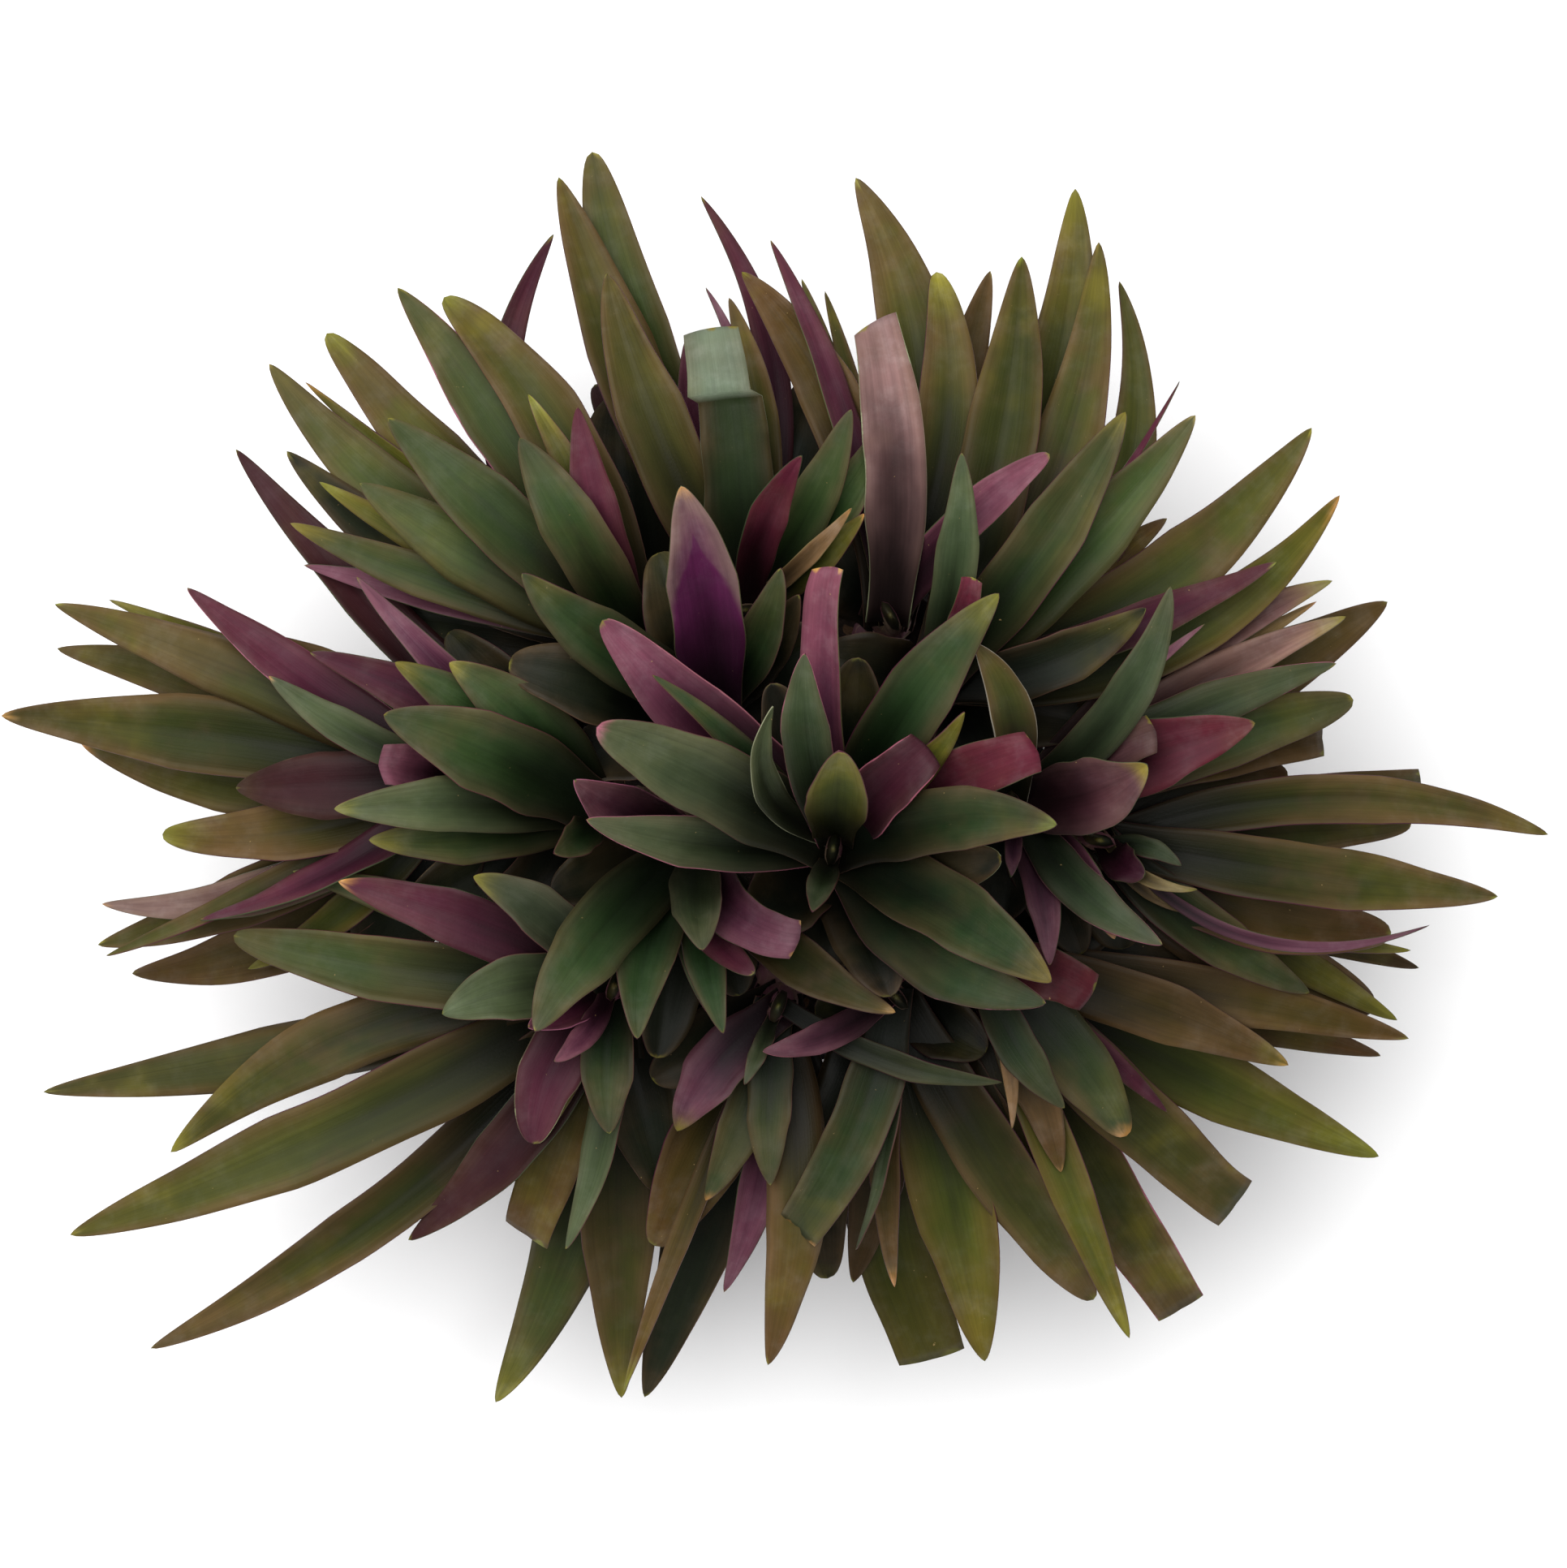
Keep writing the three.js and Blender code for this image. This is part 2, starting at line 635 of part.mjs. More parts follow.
// A stem stands straight in its hole, leans out over the soil, rises upright through the crown and
// tapers into a rolled young leaf.
function makeStem(shoot, crownRadius) {
  const [rx, ry] = shoot.root;
  const [cx, cy] = shoot.crown;
  const foot = new THREE.Vector3(rx, ry, SOIL_LEVEL - STEM_DEPTH);
  const start = new THREE.Vector3(rx, ry, SOIL_LEVEL + STEM_CLEAR);
  const knee = new THREE.Vector3(rx + (cx - rx) * 0.1, ry + (cy - ry) * 0.1, shoot.low - 4);
  const bottom = new THREE.Vector3(cx, cy, shoot.low);
  const top = new THREE.Vector3(cx, cy, shoot.high);
  const tip = new THREE.Vector3(cx, cy, shoot.high + SPEAR);
  const lean = new THREE.QuadraticBezierCurve3(start, knee, bottom);
  const centres = [foot, start];
  for (let i = 1; i <= STEM_RINGS; i++) {
    centres.push(lean.getPoint(i / STEM_RINGS));
  }
  centres.push(top, tip);
  const radii = centres.map(() => STEM_RADIUS);
  radii.splice(-3, 3, crownRadius, CROWN_TOP_RADIUS, SPEAR_TIP_RADIUS);
  const rings = centres.map((c, i) => {
    const before = centres[Math.max(0, i - 1)];
    const after = centres[Math.min(centres.length - 1, i + 1)];
    const along = after.clone().sub(before).normalize();
    if (i < 2 || i > centres.length - 4) along.set(0, 0, 1);
    const across = new THREE.Vector3(1, 0, 0).addScaledVector(along, -along.x).normalize();
    const side = along.clone().cross(across);
    const ring = [];
    for (let j = 0; j < STEM_SIDES; j++) {
      const angle = (2 * Math.PI * j) / STEM_SIDES;
      const p = c.clone();
      p.addScaledVector(across, radii[i] * Math.cos(angle));
      p.addScaledVector(side, radii[i] * Math.sin(angle));
      ring.push(p);
    }
    return ring;
  });
  return loft(rings);
}

// Half of the blade's width along it, a share of the full half width.
function outline(t, end) {
  const rise = Math.min(1, t / WIDE_FROM);
  const lower = BASE_SHARE + (1 - BASE_SHARE) * rise * rise * (3 - 2 * rise);
  if (t < NARROW_FROM) return lower;
  const left = Math.max(0, (1 - t) / (1 - NARROW_FROM));
  if (end === CUT) return lower * (CUT_SHARE + (1 - CUT_SHARE) * left);
  return lower * Math.pow(left, end === ROUND ? ROUND_POWER : LANCE_POWER);
}

function stations(leaf) {
  if (leaf.end === CUT) return [0, 0.3, 0.6, 0.85, 1];
  if (leaf.end === ROUND) return [0, 0.25, 0.5, 0.74, 0.93, 1];
  if (leaf.end === UNDER) return [0, 0.55, 1];
  if (leaf.width < 12) return [0, 0.36, 0.7, 1];
  return [0, 0.28, 0.56, 0.82, 1];
}

function leafOf(shoot, row, index) {
  const [x, y, width, height, bow, roll, end] = row;
  const share = index / Math.max(1, shoot.leaves.length - 1);
  const lowest = shoot.low + FIRST_LEAF;
  const base = lowest + (shoot.high - LAST_LEAF - lowest) * share;
  return { shoot, x, y, width, height, bow, roll, end, base, index, lift: 0 };
}

// The midrib: root, control point and tip of a quadratic curve.
function midrib(leaf) {
  const [cx, cy] = leaf.shoot.crown;
  const reach = Math.hypot(leaf.x - cx, leaf.y - cy);
  const ux = (leaf.x - cx) / reach;
  const uy = (leaf.y - cy) / reach;
  const root = new THREE.Vector3(cx + BASE_INSET * ux, cy + BASE_INSET * uy, leaf.base);
  const tip = new THREE.Vector3(leaf.x, leaf.y, leaf.height + LIFT_STEP * leaf.lift);
  const arch = BLADE_ARCH * root.distanceTo(tip) + LIFT_STEP * LIFT_ARCH * leaf.lift;
  const control = root.clone().add(tip).multiplyScalar(0.5);
  control.x -= 2 * leaf.bow * uy;
  control.y += 2 * leaf.bow * ux;
  control.z += 2 * arch;
  return new THREE.QuadraticBezierCurve3(root, control, tip);
}

// A channelled blade with four corners to a ring: edge, upper midrib, edge, lower midrib. Both
// faces split their quads along the same diagonal. With room over 0 it is the leaf's envelope.
function makeBlade(leaf, room, from = 0) {
  const curve = midrib(leaf);
  const ts = stations(leaf).map((t) => from + (1 - from) * t);
  const positions = [];
  const triangles = [];
  const rings = leaf.end === CUT ? ts.length : ts.length - 1;
  for (let i = 0; i < rings; i++) {
    const t = ts[i];
    const c = curve.getPoint(t);
    const along = curve.getTangent(t);
    const left = new THREE.Vector3(-along.y, along.x, 0).normalize();
    const up = along.clone().cross(left).normalize();
    const turn = (leaf.roll * Math.PI * Math.min(1, t / NARROW_FROM)) / 180;
    left.applyAxisAngle(along, turn);
    up.applyAxisAngle(along, turn);
    const half = (leaf.width / 2) * outline(t, leaf.end);
    const thick = BLADE_MIDRIB * (1 - 0.4 * t) + 2 * room;
    const edge = half + 1.5 * room;
    const rise = BLADE_CHANNEL * half * Math.min(1, 0.25 + 2 * t);
    const corners = [
      c.clone().addScaledVector(left, edge).addScaledVector(up, rise),
      c.clone().addScaledVector(up, -thick / 2),
      c.clone().addScaledVector(left, -edge).addScaledVector(up, rise),
      c.clone().addScaledVector(up, thick / 2),
    ];
    corners.forEach((p) => positions.push(p.x, p.y, p.z));
  }
  for (let i = 0; i + 1 < rings; i++) {
    const a = 4 * i;
    const b = a + 4;
    // under left, under right
    triangles.push(a, b + 1, a + 1, a, b, b + 1);
    triangles.push(a + 1, b + 1, a + 2, a + 2, b + 1, b + 2);
    // upper right, upper left
    triangles.push(a + 2, b + 3, a + 3, a + 2, b + 2, b + 3);
    triangles.push(a + 3, b + 3, a, a, b + 3, b);
  }
  triangles.push(0, 1, 2, 0, 2, 3);
  const last = 4 * (rings - 1);
  if (leaf.end === CUT) {
    triangles.push(last, last + 2, last + 1, last, last + 3, last + 2);
  } else {
    const tip = curve.getPoint(1);
    const end = positions.length / 3;
    tip.addScaledVector(curve.getTangent(1), room);
    positions.push(tip.x, tip.y, tip.z);
    for (let j = 0; j < 4; j++) {
      triangles.push(last + ((j + 1) % 4), last + j, end);
    }
  }
  return solidOf(positions, triangles);
}

function boxOf(solid) {
  const { min, max } = solid.boundingBox();
  return { min, max };
}

function boxesMeet(a, b) {
  for (let i = 0; i < 3; i++) {
    if (a.min[i] > b.max[i] || b.min[i] > a.max[i]) return false;
  }
  return true;
}

function countMet(solid, others, counts) {
  const box = boxOf(solid);
  return others.filter(
    (other) =>
      counts(other) && boxesMeet(other.box, box) && solid.intersect(other.solid).volume() > 0,
  ).length;
}

// Every leaf is bent up or down in steps until it clears what stands on the other shoots.
function settleLeaves(placed) {
  const leaves = [];
  const free = [];
  SHOOTS.forEach((shoot) => {
    shoot.leaves.forEach((row, index) => leaves.push(leafOf(shoot, row, index)));
  });
  leaves.sort((a, b) => b.height - a.height || a.x - b.x);
  const kept = [];
  for (const leaf of leaves) {
    let best = null;
    let fewest = Infinity;
    for (let n = 0; n <= 2 * LIFT_MOST && fewest > 0; n++) {
      leaf.lift = n % 2 ? (n + 1) / 2 : -n / 2;
      const whole = makeBlade(leaf, CLEARANCE);
      if (countMet(whole, placed, (other) => other.shoot !== leaf.shoot)) continue;
      const outer = makeBlade(leaf, CLEARANCE, FREE_FROM);
      const crossed = countMet(outer, free, (other) => other.shoot === leaf.shoot);
      if (crossed < fewest) {
        fewest = crossed;
        best = leaf.lift;
      }
    }
    if (best === null) continue;
    leaf.lift = best;
    const solid = makeBlade(leaf, 0);
    const outer = makeBlade(leaf, 0, FREE_FROM);
    placed.push({ shoot: leaf.shoot, solid, box: boxOf(solid) });
    free.push({ shoot: leaf.shoot, solid: outer, box: boxOf(outer) });
    kept.push({ leaf, solid });
  }
  return kept;
}

function makeShoots(pot, soil) {
  const placed = [
    { shoot: null, solid: pot, box: boxOf(pot) },
    { shoot: null, solid: soil, box: boxOf(soil) },
  ];
  SHOOTS.forEach((shoot) => {
    const solid = makeStem(shoot, CROWN_RADIUS + 1);
    placed.push({ shoot, solid, box: boxOf(solid) });
  });
  const kept = settleLeaves(placed);
  return SHOOTS.map((shoot) => {
    const own = kept.filter((k) => k.leaf.shoot === shoot);
    // A stem a little thicker in the crown is tried where thin slivers would not close.
    for (let n = 0; n < CROWN_TRIES; n++) {
      let solid = makeStem(shoot, CROWN_RADIUS + CROWN_STEP * n);
      own.forEach((k) => {
        solid = solid.add(k.solid);
      });
      const whole = rounded(mainBody(solid));
      if (whole !== null) {
        return [shoot.name, whole];
      }
    }
    throw new Error(shoot.name + " does not close");
  });
}

const group = new THREE.Group();
const pot = makePot();
const soil = makeSoil();
group.add(meshOf("pot", pot, POT_COLOUR, 0.55));
group.add(meshOf("soil", soil, SOIL_COLOUR, 0.95));
for (const [name, solid] of makeShoots(pot, soil)) {
  group.add(meshOf(name, solid, LEAF_COLOUR, 0.45));
}

export default group;
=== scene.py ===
"""Oyster plant: a dense clump of leafy shoots in a round pot."""

import math
import random
from collections import namedtuple

import bmesh
import bpy
from bpy.props import FloatProperty, FloatVectorProperty, IntProperty, PointerProperty
from mathutils import Matrix, Quaternion, Vector, kdtree, noise


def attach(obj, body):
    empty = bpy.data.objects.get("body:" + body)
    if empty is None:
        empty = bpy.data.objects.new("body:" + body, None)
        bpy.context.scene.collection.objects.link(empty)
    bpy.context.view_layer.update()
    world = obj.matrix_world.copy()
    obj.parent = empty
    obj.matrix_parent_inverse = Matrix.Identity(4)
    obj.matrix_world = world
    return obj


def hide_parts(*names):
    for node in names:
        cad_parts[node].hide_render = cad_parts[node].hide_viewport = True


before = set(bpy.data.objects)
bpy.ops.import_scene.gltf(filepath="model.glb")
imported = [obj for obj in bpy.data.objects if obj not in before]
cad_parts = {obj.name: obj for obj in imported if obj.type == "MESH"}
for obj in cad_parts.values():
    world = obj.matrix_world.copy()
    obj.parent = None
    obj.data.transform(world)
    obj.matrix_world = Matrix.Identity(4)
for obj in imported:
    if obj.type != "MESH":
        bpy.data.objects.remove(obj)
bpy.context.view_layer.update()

bl_info = {
    "name": "Oyster Plant",
    "version": (1, 0, 0),
    "blender": (4, 5, 0),
    "location": "3D View > Sidebar > Oyster Plant",
    "description": "Grows a potted oyster plant round its fixed frame",
    "category": "Add Mesh",
}

BODY = "root"
MM = 0.001
MERGE = 0.01 * MM  # corners nearer than this are one
LAST = 0.9999  # a grid's last row and column lie past this share of it

# Pot and soil, in millimetres
POT_HEIGHT = 146
POT_RIM_RADIUS = 100
POT_FOOT_RADIUS = 68
POT_WALL = 5
POT_RIM_HEIGHT = 24
POT_RIM_SLANT = 1  # rise of the rim's underside
POT_RIM_BAND = 5  # how far the rim stands out from the wall's line
POT_FLOOR = 7
POT_LIP = 6  # width of the rim's top
POT_EDGE = 1.2  # rounding of the edges
POT_STEPS = 128
SHARP = math.radians(25)  # edges sharper than this are rounded
DRAIN_RADIUS = 6
DRAIN_CIRCLE = 38
DRAIN_COUNT = 4
DRAIN_SIDES = 32
SOIL_LEVEL = 133
SOIL_DOME = 2  # height of its middle over that level
DOME_RADIUS = 60  # where the soil is down to that level
SOIL_GAP = 0.3  # to the pot's floor
WALL_GAP = 0.7
SOIL_CHAMFER = 6  # at the foot
SOIL_SHOULDER = 5  # fall of the level at the wall
SHOULDER_WIDTH = 4
SOIL_RINGS = 26
SOIL_STEPS = 120
SOIL_ROUGHNESS = 1.6  # height of the crumbly top
SOIL_LUMPS = 120  # lumps to a metre
CRUMB_SIZES = (0.8, 2.6)
CRUMB_REACH = 0.97  # loose crumbs lie within this share of the top
CRUMB_REST = 0.3  # height of a crumb's middle over the soil, a share of its size

# Stems
STEM_RADIUS = 7
CROWN_RADIUS = 9  # the stem wrapped in the leaves' sheaths
CROWN_TOP_RADIUS = 8.5
SPEAR_TIP_RADIUS = 1
STEM_DEPTH = 26  # in the soil
STEM_CLEAR = 5  # straight stretch over the soil
KNEE_SHARE = 0.1  # where the stem bends, a share of the way to its crown
KNEE_DROP = 4  # and its depth under the crown's foot
SPEAR = 20  # height of the rolled young leaf over the crown
SPEAR_FLATNESS = 0.8  # it is folded flat
SPEAR_SLIMMING = 0.3  # and slimmer than the crown
STEM_COLUMNS = 24
STEM_ROWS = 60
BEND_FROM = 0.2  # share of the rows under the bent stretch
CROWN_FROM = 0.6  # under the crown
SPEAR_FROM = 0.85  # and under the spear
SHEATH_STEPS = (0.055, 0.075)  # height of an old sheath, a share of the rows
SHEATH_INSET = 0.6
SHEATH_RISE = 1.3
SHEATH_RAGGED = 0.25
SHEATH_CHANGE = 9  # how fast that changes up the stem
STEM_SHADED_LIGHT = 0.12  # painted shade: lightness of the stem's paints, dark as the heart of a shoot lies in shade
SPEAR_SHADE_LIFT = 0.4  # and how much lighter the spear grows to its tip as it rises out of that painted shade

# Leaves
BLADE_CHANNEL = 0.24  # rise of the edges over the midrib, a share of the half width
CHANNEL_START = 0.25  # share of that rise at the leaf's root
CHANNEL_GROWTH = 2
BLADE_ARCH = 0.085  # arch over the straight line, a share of the length
WIDE_FROM = 0.34  # share of the length where the full width is reached
NARROW_FROM = 0.6  # and where the taper to the tip starts
LANCE_POWER = 0.64
ROUND_POWER = 0.45
CUT_SHARE = 0.78  # width at a square end, a share of the full width
BASE_SHARE = 0.68  # width where the blade leaves the stem, a share of the full width
FIRST_LEAF = 3  # height of the lowest leaf's root over the crown's foot
LAST_LEAF = 6  # depth of the highest leaf's root under the crown's top
BASE_INSET = 5  # distance of the blade's root from the stem's axis
ROOT_DEPTH = 8  # length of a leaf hidden among the sheaths of the others
ROOT_TO = 0.12  # share of the length that is drawn back for it
LIFT_STEP = 4  # step of the tip height by which a leaf of the frame is bent clear of another
LIFT_ARCH = 0.55  # share of that step that goes into the arch
LIFT_MOST = 12  # steps each way
UNDER_SPREAD = 1.15  # width of the low leaves, a share of that in the frame
BROAD_SPREAD = 1.6  # and of the broadest of them
FOLD_FROM = 0.76  # share of the length where a folded tip starts
FOLD_SHIFT = (4, 2.5)  # sideways and upwards
TIP_CROWDING = 1.35  # crowds a leaf's rows towards its pointed tip
EDGE_WAVES = (1.5, 3.5)  # waves along an edge
WOBBLES = 5  # uneven stretches of the outline along a leaf
SIDES_APART = 7  # keeps the two edges' stretches unlike
EDGE_CURL = (-0.22, 0.3)  # upward bend of an edge, a share of the half width
CUP = (0.9, 1.7)  # depth of the channel, a share of that in the frame
CUP_POWER = 1.12
TWIST = 9  # degrees, from leaf to leaf
PRESSED_CUP = 0.3
PRESSED_CURL = -0.3
CLASP = 0.3  # rise of the edges round the stem, a share of the half width
CLASP_TO = 0.16
END_SLANT = 0.3  # of a square end, at the most
END_ROUNDING = 0.12
END_REACH = 6  # power that keeps both near the end
END_DROOP = 0.3  # fall of a square end, a share of the half width
DROOP_FROM = 0.9
EDGE_THINNING = 0.62  # a leaf is thinner at its edges
EDGE_THINNING_POWER = 1.6
TIP_THINNING = 0.25  # and towards its tip
THINNEST = 0.12  # all as shares of the thickness at the midrib's foot
SOLID_LEAST = 0.15  # share of the thickness that is kept at a weight of 0

LANCE = 0  # ends in a long point
ROUND = 1  # ends in a blunt point
CUT = 2  # ends square
UNDER = 3  # a blunt point, low in the clump

# Stage
WORLD_STRENGTH = 0.54
KEY_PLACE = (-0.55, 0.63, 2.8)  # in metres
KEY_STRENGTH = 3.75
KEY_SPREAD = 58  # degrees
FLOOR_SIZE = 30  # from its middle to its edge, in metres
FRAME_WIDTH = 603.4  # width of the view
VIEW_HEIGHT = 200  # at this height, about halfway up the leaves
VIEW_CENTRE = (-3.0, 7.5)
CAMERA_DISTANCE = 8000
CAMERA_REACH = 100  # in metres
SENSOR = 36

# Painted shade, lightness and age of the leaves
SURFACE_TOP = 333  # height of the clump's outer surface at its middle
SURFACE_SLOPE = 0.66  # its fall outwards
SURFACE_OVAL = 1.25  # its length over its width
DEPTH_SHADE_FROM = -5  # depth under that surface where the painted shade starts
DEPTH_SHADE_TO = 70  # and where they are darkest
DEPTH_SHADE_DARK = 0.42  # lightness there, under the deepest painted shade
DARK_WITHIN = 110  # painted shade: leaves whose tips lie this near the middle are the darkest
PALE_FROM = 270  # and this far out the lightest
INNER_LIGHT = 0.88  # lightness of the darkest, a share of the lightest
LEAF_LIGHT = 0.68  # lightness of the lightest
LEAF_SHINE = 0.1
SHADED_SIDE_DARK = 0.4  # painted shade: how much darker the inner leaves are on the clump's side away from the key light
SHADED_SIDE_FADE = 0.4  # share of that lost at the outermost leaves
SHADED_SIDE_FROM = 0.6  # where that shaded side starts, as the x less the y of a leaf's direction
SHADED_SIDE_SPAN = 0.8  # from there to where it is darkest
RIPE_MOST = 0.6  # how far the outermost green leaves have turned to olive
LIGHT_SPREAD = 0.12  # from leaf to leaf
TINT_SPREAD = 0.06

Leaf = namedtuple("Leaf", "x y width height bow roll end look")
SPEAR_LEAF = Leaf(0, 0, 1, 0, 0, 0, LANCE, "g0")  # the spears are painted as this leaf, with the painted shade of the clump's middle

# Tips of the low leaves that grow broadest.
BROAD = {(-162, -60), (-67, 158)}

# Tips of the leaves that the leaf above presses flat.
PRESSED = {
    (97, -76), (-290, -112), (80, -20), (98, -156), (-115, -233), (-9, -217), (104, -142),
    (-285, 77), (-166, 123),
}

